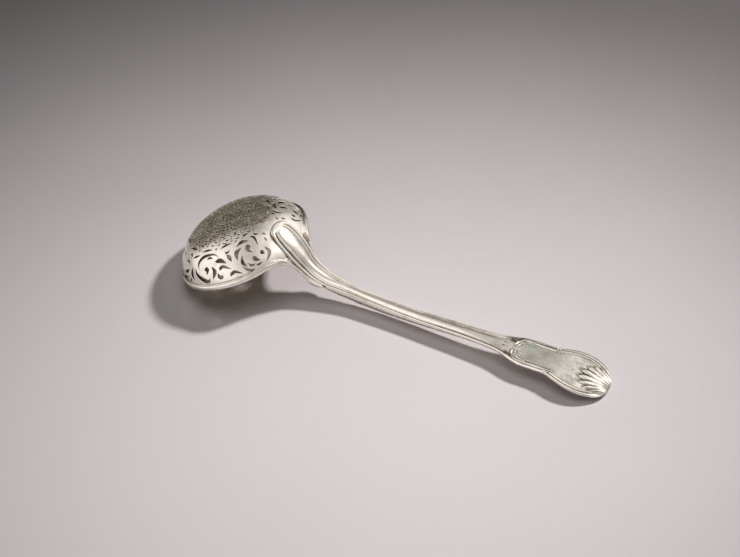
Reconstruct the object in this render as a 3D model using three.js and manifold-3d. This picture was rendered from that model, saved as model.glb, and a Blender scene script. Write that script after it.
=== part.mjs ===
// Pierced sugar sifter spoon lying mouth down: X runs from the bowl's tip to the handle's end,
// Y is across, Z is up. Millimetres.
import * as THREE from "three";
import { mergeVertices } from "three/addons/utils/BufferGeometryUtils.js";
import Module from "manifold-3d";

const wasm = await Module();
wasm.setup();

// Solder film left between joined pieces.
const JOINT_GAP = 0.3;

// Bowl: an oval dome, wider than long, leaning on the tip of its rim.
const BOWL_HALF_LENGTH = 29.2;
const BOWL_HALF_WIDTH = 34.2;
const BOWL_DEPTH = 18;
const BOWL_WALL = 0.9;
const BOWL_LEAN = 23.2;
const CROWN_BACK = 2.9;
const PLAN_POWER = 0.81;
const BACK_POWER = 0.69;
const HEIGHT_POWER = 1.13;

// Moulded wire round the rim.
const RIM_OUT = 0.9;
const RIM_HEIGHT = 3.3;
const REST_WEAR = 0.25;

// Handle: a heel drop lying on the dome, a neck falling in a curve to the stem, a fiddle terminal.
const HEEL_HALF = 7.9;
const HEEL_EDGE = 0.65;
const NECK_REACH = 33.6;
const NECK_HALF = 5.15;
const STEM_HALF = 3.1;
const STEM_HEIGHT = 6.5;
const SHOULDER_HALF = 8.85;
const TERMINAL_HALF = 12.45;
const HANDLE_END = 212;
const NECK_THICK = 2.2;
const STEM_THICK = 4.2;
const TERMINAL_THICK = 1.45;
const HEEL_CROWN = 1.3;
const PANEL_CROWN = 0.2;
const THREAD_WIDTH = 1.3;
const THREAD_RISE = 0.35;
const EDGE_SOFT = 0.3;
const TIP_HALF = 0.2;

// Shell at the handle's end.
const SHELL_REACH = 14;
const SHELL_INSET = 1.4;
const FLUTE_HALF = 1.5;
const FLUTE_RISE = 0.6;
const FLUTES_EACH_SIDE = 5;
const FLUTE_TURN = 14;

// Strap under the neck, let into the handle's underside.
const STRAP_LENGTH = 16.5;
const STRAP_THICK = 0.9;
const STRAP_SWELL = 1.3;
const STRAP_COVER = 1.1;
const STRAP_FLARE = 11;
const FLARE_REACH = 6;

// Piercing.
const SCROLL_HEIGHT = 13;
const SCROLL_STEP = 48;
const SCROLL_FIRST = 40;
const SCROLL_LEVEL = 57;
const BORDER_LEVEL = 34;
const BORDER_COUNT = 12;
const DASH_LENGTH = 4.6;
const SLIT_WIDTH = 1.15;
const FIELD_HOLE_HALF = 1.5;
const FIELD_RINGS = 3;

const rad = THREE.MathUtils.degToRad;
const lean = rad(BOWL_LEAN);
const ALONG = new THREE.Vector3(Math.cos(lean), 0, Math.sin(lean));
const ACROSS = new THREE.Vector3(0, 1, 0);
const UP = new THREE.Vector3(-Math.sin(lean), 0, Math.cos(lean));
const rimHalf = BOWL_HALF_LENGTH + RIM_OUT;
const bowlMid = new THREE.Vector3(rimHalf * Math.cos(lean), 0, rimHalf * Math.sin(lean) - REST_WEAR);

// A point given along, across and above the plane of the rim.
function fromRim(along, across, above) {
  return bowlMid.clone().addScaledVector(ALONG, along).addScaledVector(ACROSS, across).addScaledVector(UP, above);
}

// The dome: angle 0 at the crown, 90 degrees at the rim; turn 0 faces the handle.
function dome(angle, turn, grow = 0) {
  const away = Math.abs(Math.atan2(Math.sin(turn), Math.cos(turn)));
  const full = THREE.MathUtils.smoothstep(away, rad(30), rad(90));
  const spread = Math.pow(Math.sin(angle), PLAN_POWER + (BACK_POWER - PLAN_POWER) * full);
  const above = (BOWL_DEPTH + grow) * Math.pow(Math.max(Math.cos(angle), 0), HEIGHT_POWER);
  const along = (BOWL_HALF_LENGTH + grow) * spread * Math.cos(turn) - (CROWN_BACK * above) / BOWL_DEPTH;
  const across = (BOWL_HALF_WIDTH + grow) * spread * Math.sin(turn);
  return fromRim(along, across, above);
}

// A closed skin over a row of rings, capped at both ends.
function loft(rings) {
  const count = rings[0].length;
  const points = rings.flat();
  const faces = [];
  for (let r = 0; r + 1 < rings.length; r++) {
    for (let k = 0; k < count; k++) {
      const a = r * count + k;
      const b = r * count + ((k + 1) % count);
      faces.push(a, b, a + count, b, b + count, a + count);
    }
  }
  for (const r of [0, rings.length - 1]) {
    const middle = points.length;
    const sum = new THREE.Vector3();
    rings[r].forEach((p) => sum.addScaledVector(p, 1 / count));
    points.push(sum);
    for (let k = 0; k < count; k++) {
      const a = r * count + k;
      const b = r * count + ((k + 1) % count);
      faces.push(...(r === 0 ? [middle, b, a] : [middle, a, b]));
    }
  }
  const skin = new THREE.BufferGeometry().setFromPoints(points);
  skin.setIndex(faces);
  return solid(skin);
}

// A manifold body from a geometry, turned to face out.
function solid(geometry) {
  const bare = geometry.clone();
  bare.deleteAttribute("normal");
  bare.deleteAttribute("uv");
  const merged = mergeVertices(bare, 1e-4);
  const make = (order) => {
    const triVerts = new Uint32Array(order);
    return new wasm.Manifold(
      new wasm.Mesh({ numProp: 3, vertProperties: merged.attributes.position.array, triVerts }),
    );
  };
  const order = Array.from(merged.index.array);
  const body = make(order);
  return body.volume() < 0 ? make(order.reverse()) : body;
}

function ring(count, point) {
  return Array.from({ length: count }, (_, k) => point((2 * Math.PI * k) / count));
}

function steps(count, from, to) {
  return Array.from({ length: count + 1 }, (_, k) => from + ((to - from) * k) / count);
}

// The dome filled in, grown by a gap, with a flat face just below the rim.
function filledDome(grow, below) {
  const rings = [ring(48, (turn) => {
    const spot = dome(Math.PI / 2, turn, grow);
    return spot.addScaledVector(UP, -below);
  })];
  steps(10, Math.PI / 2, 0.03).forEach((angle) => rings.push(ring(48, (turn) => dome(angle, turn, grow))));
  return loft(rings);
}

// Bowl shell: inner skin from crown to rim, then outer skin back to the crown.
function bowlShell() {
  const inner = steps(7, 0.03, Math.PI / 2).map((angle) => ring(44, (turn) => dome(angle, turn, -BOWL_WALL)));
  const outer = steps(8, Math.PI / 2, 0.03).map((angle) => ring(44, (turn) => dome(angle, turn)));
  return loft([...inner, ...outer]);
}

// Places along a slit where its width is set.
const LONG = [0.18, 0.5, 0.8];
const SHORT = [0.3, 0.7];

// A tapered slit: a curved centre line from head to tail with a swelling width.
function slitOutline(line, width, at) {
  const [head, bend, tail] = line.map(([x, y]) => new THREE.Vector2(x, y));
  const spine = new THREE.QuadraticBezierCurve(head, bend, tail);
  const left = [];
  const right = [];
  for (const t of at) {
    const side = spine.getTangent(t);
    const half = (width / 2) * Math.sin(Math.PI * Math.pow(t, 0.7));
    const spot = spine.getPoint(t);
    left.push(new THREE.Vector2(spot.x - side.y * half, spot.y + side.x * half));
    right.unshift(new THREE.Vector2(spot.x + side.y * half, spot.y - side.x * half));
  }
  return new THREE.Shape([head, ...left, tail, ...right]);
}

// A cutter through the wall at a place on the dome, its X axis running round the rim.
function through(shape, angle, turn, mirror) {
  const middle = dome(angle, turn);
  const round = dome(angle, turn + 0.01).sub(dome(angle, turn - 0.01)).normalize();
  const rise = dome(angle - 0.01, turn).sub(dome(angle + 0.01, turn)).normalize();
  const out = round.clone().cross(rise).normalize();
  const upward = out.clone().cross(round);
  const depth = BOWL_WALL * 4;
  const cutter = new THREE.ExtrudeGeometry(shape, { depth, bevelEnabled: false, curveSegments: 3 });
  cutter.translate(0, 0, -depth / 2);
  if (mirror) {
    cutter.scale(-1, 1, 1);
  }
  cutter.applyMatrix4(new THREE.Matrix4().makeBasis(round, upward, out).setPosition(middle));
  return solid(cutter);
}

// A motif of slits about a place on the dome; offsets in millimetres round the rim and upward.
function motif(slits, level, turn, mirror) {
  const sign = mirror ? -1 : 1;
  const unit = SCROLL_HEIGHT / 13;
  return slits.map(([drawn, width]) => {
    const line = drawn.map(([x, y]) => [x * unit, y * unit]);
    const midX = (line[0][0] + line[1][0] * 2 + line[2][0]) / 4;
    const midY = (line[0][1] + line[1][1] * 2 + line[2][1]) / 4;
    const angle = rad(level) - midY / (BOWL_HALF_LENGTH * 0.8);
    const about = turn + (sign * midX) / (BOWL_HALF_LENGTH * Math.sin(angle) * 1.08);
    const local = line.map(([x, y]) => [x - midX, y - midY]);
    return through(slitOutline(local, width, LONG), angle, about, mirror);
  });
}

// Scroll: a sweeping arc, a thick return below it, a bud, and three leaves.
const SCROLL = [
  [[[1.6, 6.6], [-5.2, 3.6], [-2.8, -1.4]], SLIT_WIDTH],
  [[[2.9, -3.4], [-2.2, -9.4], [-4.2, 0.2]].map(([x, y]) => [x, y - 0.6]), SLIT_WIDTH * 1.35],
  [[[2.9, 1.1], [5.4, -2.2], [3.4, -5.2]], SLIT_WIDTH * 0.9],
  [[[-0.9, 1.4], [1.4, 1.4], [0.5, -2.2]], SLIT_WIDTH],
  [[[7.6, 3.9], [4.4, 6.6], [1.6, 4.4]], SLIT_WIDTH * 0.8],
  [[[9.6, 0.6], [6.4, 3.4], [4.4, 1.6]], SLIT_WIDTH * 0.9],
  [[[9.8, -4.0], [6.8, -2.2], [5.6, -4.6]], SLIT_WIDTH * 1.05],
];

// Leaf spray between two scrolls.
const SPRAY = [
  [[[-0.3, 4.6], [0.6, 0.4], [-0.4, -4.6]], SLIT_WIDTH],
  [[[-2.4, 4.2], [-2.6, 1.6], [-1.2, 0.2]], SLIT_WIDTH * 0.8],
];

function piercings() {
  const cutters = [];
  for (const side of [-1, 1]) {
    for (let n = 0; n < 3; n++) {
      const place = rad(SCROLL_FIRST + n * SCROLL_STEP);
      cutters.push(...motif(SCROLL, SCROLL_LEVEL, side * place, side > 0));
    }
    cutters.push(...motif(SPRAY, SCROLL_LEVEL, side * rad(SCROLL_FIRST + SCROLL_STEP * 1.4), side > 0));
  }
  const border = rad(BORDER_LEVEL);
  const dash = [[-0.5, -0.06], [0, 0.13], [0.5, -0.06]].map(([x, y]) => [x * DASH_LENGTH, y * DASH_LENGTH]);
  for (let n = 1; n < BORDER_COUNT; n++) {
    const turn = (2 * Math.PI * n) / BORDER_COUNT;
    cutters.push(through(slitOutline(dash, SLIT_WIDTH * 0.8, SHORT), border, turn, false));
  }
  for (let r = 1; r <= FIELD_RINGS; r++) {
    const angle = (border * r) / (FIELD_RINGS + 0.9);
    const around = 6 * r;
    for (let k = 0; k < around; k++) {
      const turn = (2 * Math.PI * (k + r / 2)) / around;
      const curl = [[-1, -0.2], [0, 0.73], [1, -0.2]].map(([x, y]) => [x * FIELD_HOLE_HALF, y * FIELD_HOLE_HALF]);
      cutters.push(through(slitOutline(curl, SLIT_WIDTH * 0.9, SHORT), angle, turn, k % 2 === 0));
    }
  }
  return cutters;
}

// Stations of the handle's right-hand edge: x along, y half-width, z height of the edge.
// Heel: angle down the dome and share of the heel's half-width.
const HEEL = [[48.2, 0.03], [49, 0.33], [53, 0.65], [61.5, 0.9], [79, 1]];
// Neck: share of the reach, half-width, share of the fall from the rim to the stem.
const NECK = [
  [0.104, HEEL_HALF * 0.9, 0.759],
  [0.226, HEEL_HALF * 0.75, 0.5],
  [0.464, NECK_HALF, 0.235],
  [0.762, NECK_HALF * 0.74, 0.12],
  [1, STEM_HALF, 0.06],
];
// Stem and terminal: share of the run, half-width, share of the stem's height.
const RUN = [
  [0.177, STEM_HALF * 1.14, 1],
  [0.378, STEM_HALF * 1.27, 1.046],
  [0.5, STEM_HALF * 1.43, 1.077],
  [0.58, SHOULDER_HALF * 0.62, 1.077],
  [0.629, SHOULDER_HALF * 0.86, 1.046],
  [0.665, SHOULDER_HALF, 1.03],
  [0.742, SHOULDER_HALF, 1.03],
  [0.778, SHOULDER_HALF * 1.03, 1.03],
  [0.822, TERMINAL_HALF * 0.885, 1],
  [0.887, TERMINAL_HALF, 0.846],
  [0.9435, TERMINAL_HALF * 0.89, 0.6],
  [0.978, TERMINAL_HALF * 0.67, 0.4],
  [0.9952, TERMINAL_HALF * 0.36, 0.223],
  [1, TIP_HALF, 0.16],
];
const rimSpot = dome(Math.PI / 2, 0);
const neckEnd = rimSpot.x + NECK_REACH;
const stemRun = HANDLE_END - neckEnd;
const strapStart = rimSpot.x - BOWL_WALL;
const strapEnd = rimSpot.x + STRAP_LENGTH;
const edge = new THREE.CatmullRomCurve3([
  ...HEEL.map(([angle, share]) => dome(rad(angle), 0, HEEL_EDGE).setY(HEEL_HALF * share)),
  ...NECK.map(([reach, half, fall]) => {
    const height = STEM_HEIGHT + (rimSpot.z - STEM_HEIGHT) * fall;
    return new THREE.Vector3(rimSpot.x + NECK_REACH * reach, half, height);
  }),
  ...RUN.map(([share, half, height]) => {
    return new THREE.Vector3(neckEnd + stemRun * share, half, STEM_HEIGHT * height);
  }),
]);
const STATIONS = 66;
const EDGE = edge.getSpacedPoints(STATIONS);

// Outward direction of the handle's back at a station, in the plane of symmetry.
function backward(k) {
  const before = EDGE[Math.max(k - 1, 0)];
  const after = EDGE[Math.min(k + 1, STATIONS)];
  return new THREE.Vector3(before.z - after.z, 0, after.x - before.x).normalize();
}

const blend = THREE.MathUtils.smoothstep;

// Thickness at the edge: even through the neck, full in the stem, thin in the terminal.
function edgeThick(x) {
  const stem = NECK_THICK + (STEM_THICK - NECK_THICK) * blend(x, strapEnd, neckEnd);
  return stem + (TERMINAL_THICK - STEM_THICK) * blend(x, neckEnd + stemRun * 0.03, neckEnd + stemRun * 0.5);
}

// Rise of the convex panel: none at the heel's tip, full along the stem, nearly flat in the terminal.
function crownRise(x) {
  const heel = HEEL_CROWN * blend(x, EDGE[0].x - HEEL_CROWN, rimSpot.x - HEEL_CROWN);
  return heel + (PANEL_CROWN - HEEL_CROWN) * blend(x, neckEnd + stemRun * 0.35, neckEnd + stemRun * 0.68);
}

// Section across the handle: thread bead at each edge, convex panel between, flat underside.
function handleSection(k) {
  const at = EDGE[k];
  const out = backward(k);
  const half = at.y;
  const thread = Math.min(THREAD_WIDTH, half * 0.36);
  const inner = half - thread;
  const rise = THREAD_RISE * Math.min(1, half / STEM_HALF);
  const crown = crownRise(at.x) * Math.min(1, half / NECK_HALF);
  const thick = edgeThick(at.x);
  const soft = Math.min(EDGE_SOFT, half * 0.2);
  const right = [
    [half, 0],
    [half - thread * 0.2, rise * 0.85],
    [half - thread * 0.55, rise],
    [half - thread * 0.85, rise * 0.5],
    [inner, 0],
    [inner * 0.75, crown * 0.44],
    [inner * 0.4, crown * 0.84],
  ];
  const left = right.map(([y, h]) => [-y, h]).reverse();
  const under = [[-half, soft - thick], [soft - half, -thick], [half - soft, -thick], [half, soft - thick]];
  const middle = [[0, crown]];
  const section = [...right, ...middle, ...left, ...under];
  return section.map(([y, h]) => new THREE.Vector3(at.x, y, at.z).addScaledVector(out, h));
}

// The strap's tongue, following the handle's underside and bending round the bowl's wall.
// Deep gives the rebate it needs in the handle.
function strapBody(grow, deep) {
  const rings = [];
  for (let k = 0; k <= STATIONS; k++) {
    const at = EDGE[k];
    if (at.x < strapStart - BOWL_WALL || at.x > strapEnd - BOWL_WALL) {
      continue;
    }
    rings.push(strapSection(at, backward(k), grow, deep));
  }
  const last = edge.getPointAt(edgeAt(strapEnd + grow));
  const near = EDGE.findIndex((p) => p.x > strapEnd);
  rings.push(strapSection(last, backward(near), grow, deep));
  return loft(rings);
}

function edgeAt(x) {
  let low = 0;
  let high = 0.6;
  for (let n = 0; n < 40; n++) {
    const mid = (low + high) / 2;
    if (edge.getPointAt(mid).x < x) {
      low = mid;
    } else {
      high = mid;
    }
  }
  return low;
}

function strapSection(at, out, grow, deep) {
  const reach = Math.max(0, 1 - Math.max(0, at.x - strapStart) / FLARE_REACH);
  const half = at.y - JOINT_GAP / 2 + STRAP_FLARE * reach * reach + grow * 2;
  const swell = STRAP_SWELL * Math.exp(-Math.pow(((at.x - rimSpot.x) / STRAP_LENGTH - 0.56) / 0.2, 2));
  const bottom = STRAP_COVER + STRAP_THICK + (RIM_HEIGHT - STRAP_THICK) * 0.5 * reach + swell;
  const place = (y, depth) => {
    const bend = BOWL_HALF_LENGTH * (1 - Math.sqrt(1 - Math.pow(y / BOWL_HALF_WIDTH, 2)));
    const spot = new THREE.Vector3(at.x, y, at.z).addScaledVector(out, -depth);
    return spot.addScaledVector(ALONG, -bend);
  };
  const over = steps(8, half, -half).map((y) => place(y, STRAP_COVER - grow));
  const under = steps(8, -half, half).map((y) => place(y, bottom + (deep ? STEM_THICK : 0)));
  return [...over, ...under];
}

// Moulded wire: a bead with a fine fillet above, open where the strap leaves the bowl.
function rimMoulding() {
  const opening = Math.asin((HEEL_HALF + STRAP_FLARE * 0.4) / BOWL_HALF_WIDTH);
  const profile = [
    [JOINT_GAP, 0],
    [RIM_OUT * 0.8, 0],
    [RIM_OUT, RIM_HEIGHT * 0.2],
    [RIM_OUT, RIM_HEIGHT * 0.45],
    [RIM_OUT * 0.75, RIM_HEIGHT * 0.65],
    [RIM_OUT * 0.85, RIM_HEIGHT * 0.8],
    [RIM_OUT * 0.6, RIM_HEIGHT],
    [JOINT_GAP, RIM_HEIGHT],
  ];
  const rings = steps(72, opening, 2 * Math.PI - opening).map((turn) =>
    profile.map(([out, above]) => {
      const across = (BOWL_HALF_WIDTH + out) * Math.sin(turn);
      return fromRim((BOWL_HALF_LENGTH + out) * Math.cos(turn), across, above);
    }),
  );
  return loft(rings);
}

// Shell: tapered flutes fanning from a root at the tip, shorter toward the sides.
function shellFlutes() {
  const root = edge.getPointAt(1);
  const high = EDGE.find((p) => p.x > root.x - SHELL_REACH);
  const slope = Math.atan2(high.z - root.z, root.x - high.x);
  const flutes = [];
  for (let n = -FLUTES_EACH_SIDE; n <= FLUTES_EACH_SIDE; n++) {
    const turn = rad(n * FLUTE_TURN);
    const half = (SHELL_REACH / 2) * Math.pow(Math.cos(turn), 0.6);
    const flute = new THREE.SphereGeometry(1, 6, 6);
    flute.scale(half, FLUTE_HALF * (1 - 0.06 * Math.abs(n)), FLUTE_RISE * 1.6);
    flute.translate(-half, 0, -FLUTE_RISE * 0.6);
    flute.rotateZ(turn);
    flute.rotateY(slope);
    flute.translate(root.x - SHELL_INSET, 0, root.z + SHELL_INSET * slope + PANEL_CROWN * 2);
    flutes.push(solid(flute));
  }
  return flutes;
}

const floorBlock = solid(
  new THREE.BoxGeometry(HANDLE_END * 2, BOWL_HALF_WIDTH * 4, BOWL_DEPTH).translate(HANDLE_END / 2, 0, -BOWL_DEPTH / 2),
);
const bowlSpace = filledDome(JOINT_GAP, JOINT_GAP);

let bowl = bowlShell();
for (const cutter of piercings()) {
  bowl = bowl.subtract(cutter);
}

const rim = rimMoulding().subtract(floorBlock).subtract(strapBody(JOINT_GAP, true));

const mouthRings = [-BOWL_WALL * 2, 0].map((above) =>
  ring(48, (turn) => {
    const across = (BOWL_HALF_WIDTH - BOWL_WALL) * Math.sin(turn);
    return fromRim((BOWL_HALF_LENGTH - BOWL_WALL) * Math.cos(turn), across, above);
  }),
);
const mouth = loft(mouthRings);
const strap = strapBody(0, false).subtract(bowlSpace).subtract(mouth);

let handle = loft(EDGE.map((_, k) => handleSection(k)));
for (const flute of shellFlutes()) {
  handle = handle.add(flute);
}
handle = handle.subtract(bowlSpace).subtract(mouth).subtract(strapBody(JOINT_GAP, true)).subtract(floorBlock);

const group = new THREE.Group();

// The largest body of a cut piece as a named mesh.
function addPiece(name, body, colour, roughness) {
  const bodies = body.decompose().sort((a, b) => b.volume() - a.volume());
  const mesh = bodies[0].getMesh();
  const geometry = new THREE.BufferGeometry();
  geometry.setAttribute("position", new THREE.BufferAttribute(mesh.vertProperties, 3));
  geometry.setIndex(new THREE.BufferAttribute(mesh.triVerts, 1));
  geometry.computeVertexNormals();
  const material = new THREE.MeshStandardMaterial({ color: colour, roughness, metalness: 1 });
  const piece = new THREE.Mesh(geometry, material);
  piece.name = name;
  group.add(piece);
}

addPiece("bowl", bowl, 0xd6d2c8, 0.32);
addPiece("rim_moulding", rim, 0xdedad2, 0.25);
addPiece("throat_strap", strap, 0xdedad2, 0.28);
addPiece("handle", handle, 0xdcd8d0, 0.26);

// Centre of the footprint at the origin, resting points on the floor plane.
const box = new THREE.Box3().setFromObject(group);
const middle = box.getCenter(new THREE.Vector3());
group.position.set(-middle.x, -middle.y, -box.min.z);

export default group;
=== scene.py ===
"""Looks of a silver sugar sifter spoon lying mouth down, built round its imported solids."""

import bpy
import numpy as np
from bpy.props import FloatProperty, FloatVectorProperty, PointerProperty
from mathutils import Matrix, Vector
from mathutils.geometry import delaunay_2d_cdt


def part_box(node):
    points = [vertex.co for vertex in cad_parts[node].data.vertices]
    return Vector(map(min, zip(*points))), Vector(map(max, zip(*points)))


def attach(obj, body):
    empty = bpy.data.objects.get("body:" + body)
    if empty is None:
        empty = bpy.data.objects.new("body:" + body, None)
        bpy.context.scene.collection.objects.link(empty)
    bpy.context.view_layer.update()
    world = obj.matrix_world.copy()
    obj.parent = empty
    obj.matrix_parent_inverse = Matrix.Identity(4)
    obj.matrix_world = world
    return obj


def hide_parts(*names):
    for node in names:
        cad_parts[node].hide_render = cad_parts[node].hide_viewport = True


bl_info = {
    "name": "Sugar Sifter Spoon",
    "version": (1, 0, 0),
    "blender": (4, 5, 0),
    "location": "3D View > Sidebar > Sifter",
    "description": "Builds a pierced sugar sifter spoon and its table",
    "category": "Add Mesh",
}

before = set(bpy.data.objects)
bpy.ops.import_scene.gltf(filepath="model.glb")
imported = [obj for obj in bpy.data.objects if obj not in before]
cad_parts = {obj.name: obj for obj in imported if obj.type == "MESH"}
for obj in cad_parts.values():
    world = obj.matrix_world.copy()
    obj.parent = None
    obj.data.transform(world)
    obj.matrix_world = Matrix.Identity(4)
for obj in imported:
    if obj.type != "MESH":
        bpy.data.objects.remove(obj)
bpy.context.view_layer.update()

MM = 0.001
HANDLE_END = 212.0
# Distance from the bowl's tip to the frame's origin, in millimetres.
MIDDLE = HANDLE_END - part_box("handle")[1].x / MM

# Bowl, as in the part's source: millimetres and degrees.
HALF_LENGTH = 29.2
HALF_WIDTH = 34.2
LEAN = np.radians(23.2)
CROWN_BACK = 2.9
PLAN_POWER = 0.81
BACK_POWER = 0.69
HEIGHT_POWER = 1.13
RIM_OUT = 0.9
REST_WEAR = 0.25
ALONG = np.array([np.cos(LEAN), 0.0, np.sin(LEAN)])
ACROSS = np.array([0.0, 1.0, 0.0])
UP = np.array([-np.sin(LEAN), 0.0, np.cos(LEAN)])
RIM_MIDDLE = ALONG * (HALF_LENGTH + RIM_OUT) - np.array([0.0, 0.0, REST_WEAR])

# Turn from the handle at which the rim wire leaves the bowl.
FLARE_TURN = np.radians(33.0)
# Where the throat tongue ends under the neck.
TONGUE_END = 71.0
# Takes a point to the other side of the handle.
MIRROR = np.array([1.0, -1.0, 1.0])


class SifterSizes(bpy.types.PropertyGroup):
    """Sizes a maker would change."""

    bowl_depth: FloatProperty(
        name="Bowl depth", description="Height of the dome above the rim",
        default=0.018, unit="LENGTH", subtype="DISTANCE")
    bowl_wall: FloatProperty(
        name="Bowl wall", description="Thickness of the pierced sheet",
        default=0.0009, unit="LENGTH", subtype="DISTANCE")
    slit_chamfer: FloatProperty(
        name="Slit chamfer", description="Softening of the sawn edges",
        default=0.00013, unit="LENGTH", subtype="DISTANCE")
    rim_height: FloatProperty(
        name="Rim height", description="Height of the moulded rim wire",
        default=0.0033, unit="LENGTH", subtype="DISTANCE")
    thread_rise: FloatProperty(
        name="Thread rise", description="Height of the threads along the handle",
        default=0.0004, unit="LENGTH", subtype="DISTANCE")
    shell_rise: FloatProperty(
        name="Shell rise", description="Height of the shell's lobes",
        default=0.0009, unit="LENGTH", subtype="DISTANCE")


class SifterFinish(bpy.types.PropertyGroup):
    """Colours and polish."""

    silver: FloatVectorProperty(
        name="Silver", description="Clean silver", subtype="COLOR", size=4,
        default=(0.90, 0.85, 0.78, 1.0))
    tarnish: FloatVectorProperty(
        name="Tarnish", description="Brown tarnish left in the hollows", subtype="COLOR", size=4,
        default=(0.10, 0.08, 0.05, 1.0))
    patina: FloatVectorProperty(
        name="Patina", description="Blue-green bloom on worn flats", subtype="COLOR", size=4,
        default=(0.60, 0.62, 0.585, 1.0))
    gilt: FloatVectorProperty(
        name="Gilt", description="Gilding inside the bowl", subtype="COLOR", size=4,
        default=(0.42, 0.29, 0.08, 1.0))
    table: FloatVectorProperty(
        name="Table", description="Pale table", subtype="COLOR", size=4,
        default=(0.798, 0.754, 0.769, 1.0))
    table_far: FloatVectorProperty(
        name="Table, far", description="Table away from the light", subtype="COLOR", size=4,
        default=(0.096, 0.088, 0.091, 1.0))
    polish: FloatProperty(
        name="Polish", description="Roughness of the handled silver", default=0.24,
        min=0.05, max=0.8, subtype="FACTOR")


def smooth(edge0, edge1, x):
    """Zero below the first edge, one above the second, an even S between."""
    t = np.clip((x - edge0) / (edge1 - edge0), 0.0, 1.0)
    return t * t * (3.0 - 2.0 * t)


def between(x, low, full, fade, high):
    """Zero below low, one from full to fade and zero above high, with an even S on each side."""
    return smooth(low, full, x) * smooth(high, fade, x)


def unit(vectors):
    """Vectors over their own lengths."""
    return vectors / np.linalg.norm(vectors, axis=-1, keepdims=True)


def size(name):
    """One of the maker's sizes, in millimetres."""
    return getattr(bpy.context.scene.sifter_sizes, name) / MM


def spline(knots, count):
    """Catmull-Rom curve through the knots, sampled evenly in its parameter."""
    k = np.asarray(knots, float)
    k = np.vstack([2 * k[0] - k[1], k, 2 * k[-1] - k[-2]])
    t = np.linspace(0.0, len(k) - 3 - 1e-9, count)
    i = t.astype(int)
    f = (t - i)[:, None]
    a, b, c, d = k[i], k[i + 1], k[i + 2], k[i + 3]
    return b + 0.5 * f * (c - a + f * (2 * a - 5 * b + 4 * c - d + f * (3 * (b - c) + d - a)))


def natural(knots, shares):
    """Natural cubic spline through the knots over their chord length, read at shares of it."""
    k = np.asarray(knots, float)
    step = np.linalg.norm(np.diff(k, axis=0), axis=1)
    run = np.concatenate([[0.0], np.cumsum(step)])
    n = len(k)
    system = np.eye(n)
    right = np.zeros_like(k)
    i = np.arange(1, n - 1)
    system[i, i - 1] = step[:-1]
    system[i, i] = 2 * (step[:-1] + step[1:])
    system[i, i + 1] = step[1:]
    slope = np.diff(k, axis=0) / step[:, None]
    right[1:-1] = 6 * np.diff(slope, axis=0)
    bend = np.linalg.solve(system, right)
    s = np.asarray(shares) * run[-1]
    j = np.clip(np.searchsorted(run, s, side="right") - 1, 0, n - 2)
    h = step[j][:, None]
    p = ((s - run[j]) / step[j])[:, None]
    q = 1 - p
    return q * k[j] + p * k[j + 1] + h * h / 6 * ((q**3 - q) * bend[j] + (p**3 - p) * bend[j + 1])


def to_frame(points):
    """Millimetres from the bowl's tip to metres in the part's frame."""
    return (np.asarray(points) - np.array([MIDDLE, 0.0, 0.0])) * MM


def from_rim(along, across, above):
    """A point given along, across and above the plane of the rim."""
    along, across, above = np.broadcast_arrays(along, across, above)
    return (RIM_MIDDLE + along[..., None] * ALONG + across[..., None] * ACROSS
            + above[..., None] * UP)


def rim_line(turns, out, above):
    """The rim's oval grown outward, at a height above its plane."""
    return from_rim((HALF_LENGTH + out) * np.cos(turns), (HALF_WIDTH + out) * np.sin(turns), above)


def plan_power(turn):
    """Power of the dome's plan: fuller away from the handle."""
    away = np.abs(np.arctan2(np.sin(turn), np.cos(turn)))
    return PLAN_POWER + (BACK_POWER - PLAN_POWER) * smooth(np.radians(30), np.radians(90), away)


def dome(angle, turn, grow=0.0):
    """The bowl: spread is the sine and height the cosine of the angle down from the crown, each to
    its own power, scaled to the half axes, with the crown set back from the handle."""
    depth = size("bowl_depth")
    spread = np.sin(angle) ** plan_power(turn)
    above = (depth + grow) * np.clip(np.cos(angle), 0, 1) ** HEIGHT_POWER
    along = (HALF_LENGTH + grow) * spread * np.cos(turn) - CROWN_BACK * above / depth
    return from_rim(along, (HALF_WIDTH + grow) * spread * np.sin(turn), above)


def dome_normal(angle, turn):
    """Outward normal of the dome, from its slopes down and round."""
    a = np.clip(angle, 0.02, np.pi / 2 - 0.02)
    e = 0.004
    down = dome(a + e, turn) - dome(a - e, turn)
    round_ = dome(a, turn + e) - dome(a, turn - e)
    return unit(np.cross(down, round_))


def add_piece(name, points, faces, finishes, node):
    """A mesh at the origin from points in millimetres and faces, riding on the root body."""
    mesh = bpy.data.meshes.new(name)
    mesh.from_pydata(to_frame(points).tolist(), [], faces)
    mesh.update()
    piece = bpy.data.objects.new(name, mesh)
    bpy.context.scene.collection.objects.link(piece)
    for finish in finishes:
        mesh.materials.append(bpy.data.materials["finish_" + finish])
    mesh.polygons.foreach_set("use_smooth", np.ones(len(mesh.polygons), bool))
    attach(piece, "root")
    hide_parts(node)
    return piece


def paint(piece, name, values):
    """A float attribute on the points."""
    a = piece.data.attributes.new(name, "FLOAT", "POINT")
    a.data.foreach_set("value", np.asarray(values, np.float32).ravel())


def tube_faces(rings):
    """Quads over closed rings with a cap on each end, turned to face outward: the flow of the
    points through the quads must be positive."""
    rows, columns = rings.shape[:2]
    r, c = np.meshgrid(np.arange(rows - 1), np.arange(columns), indexing="ij")
    a, b = r * columns + c, r * columns + (c + 1) % columns
    quads = np.stack([a, b, b + columns, a + columns], -1).reshape(-1, 4)
    caps = [np.arange(columns)[::-1], np.arange((rows - 1) * columns, rows * columns)]
    p = rings.reshape(-1, 3)
    q = p[quads] - p.mean(0)
    flow = np.sum(q.mean(1) * np.cross(q[:, 2] - q[:, 0], q[:, 3] - q[:, 1]))
    turn = slice(None) if flow > 0 else slice(None, None, -1)
    return quads[:, turn].tolist() + [cap[turn].tolist() for cap in caps]


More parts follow.
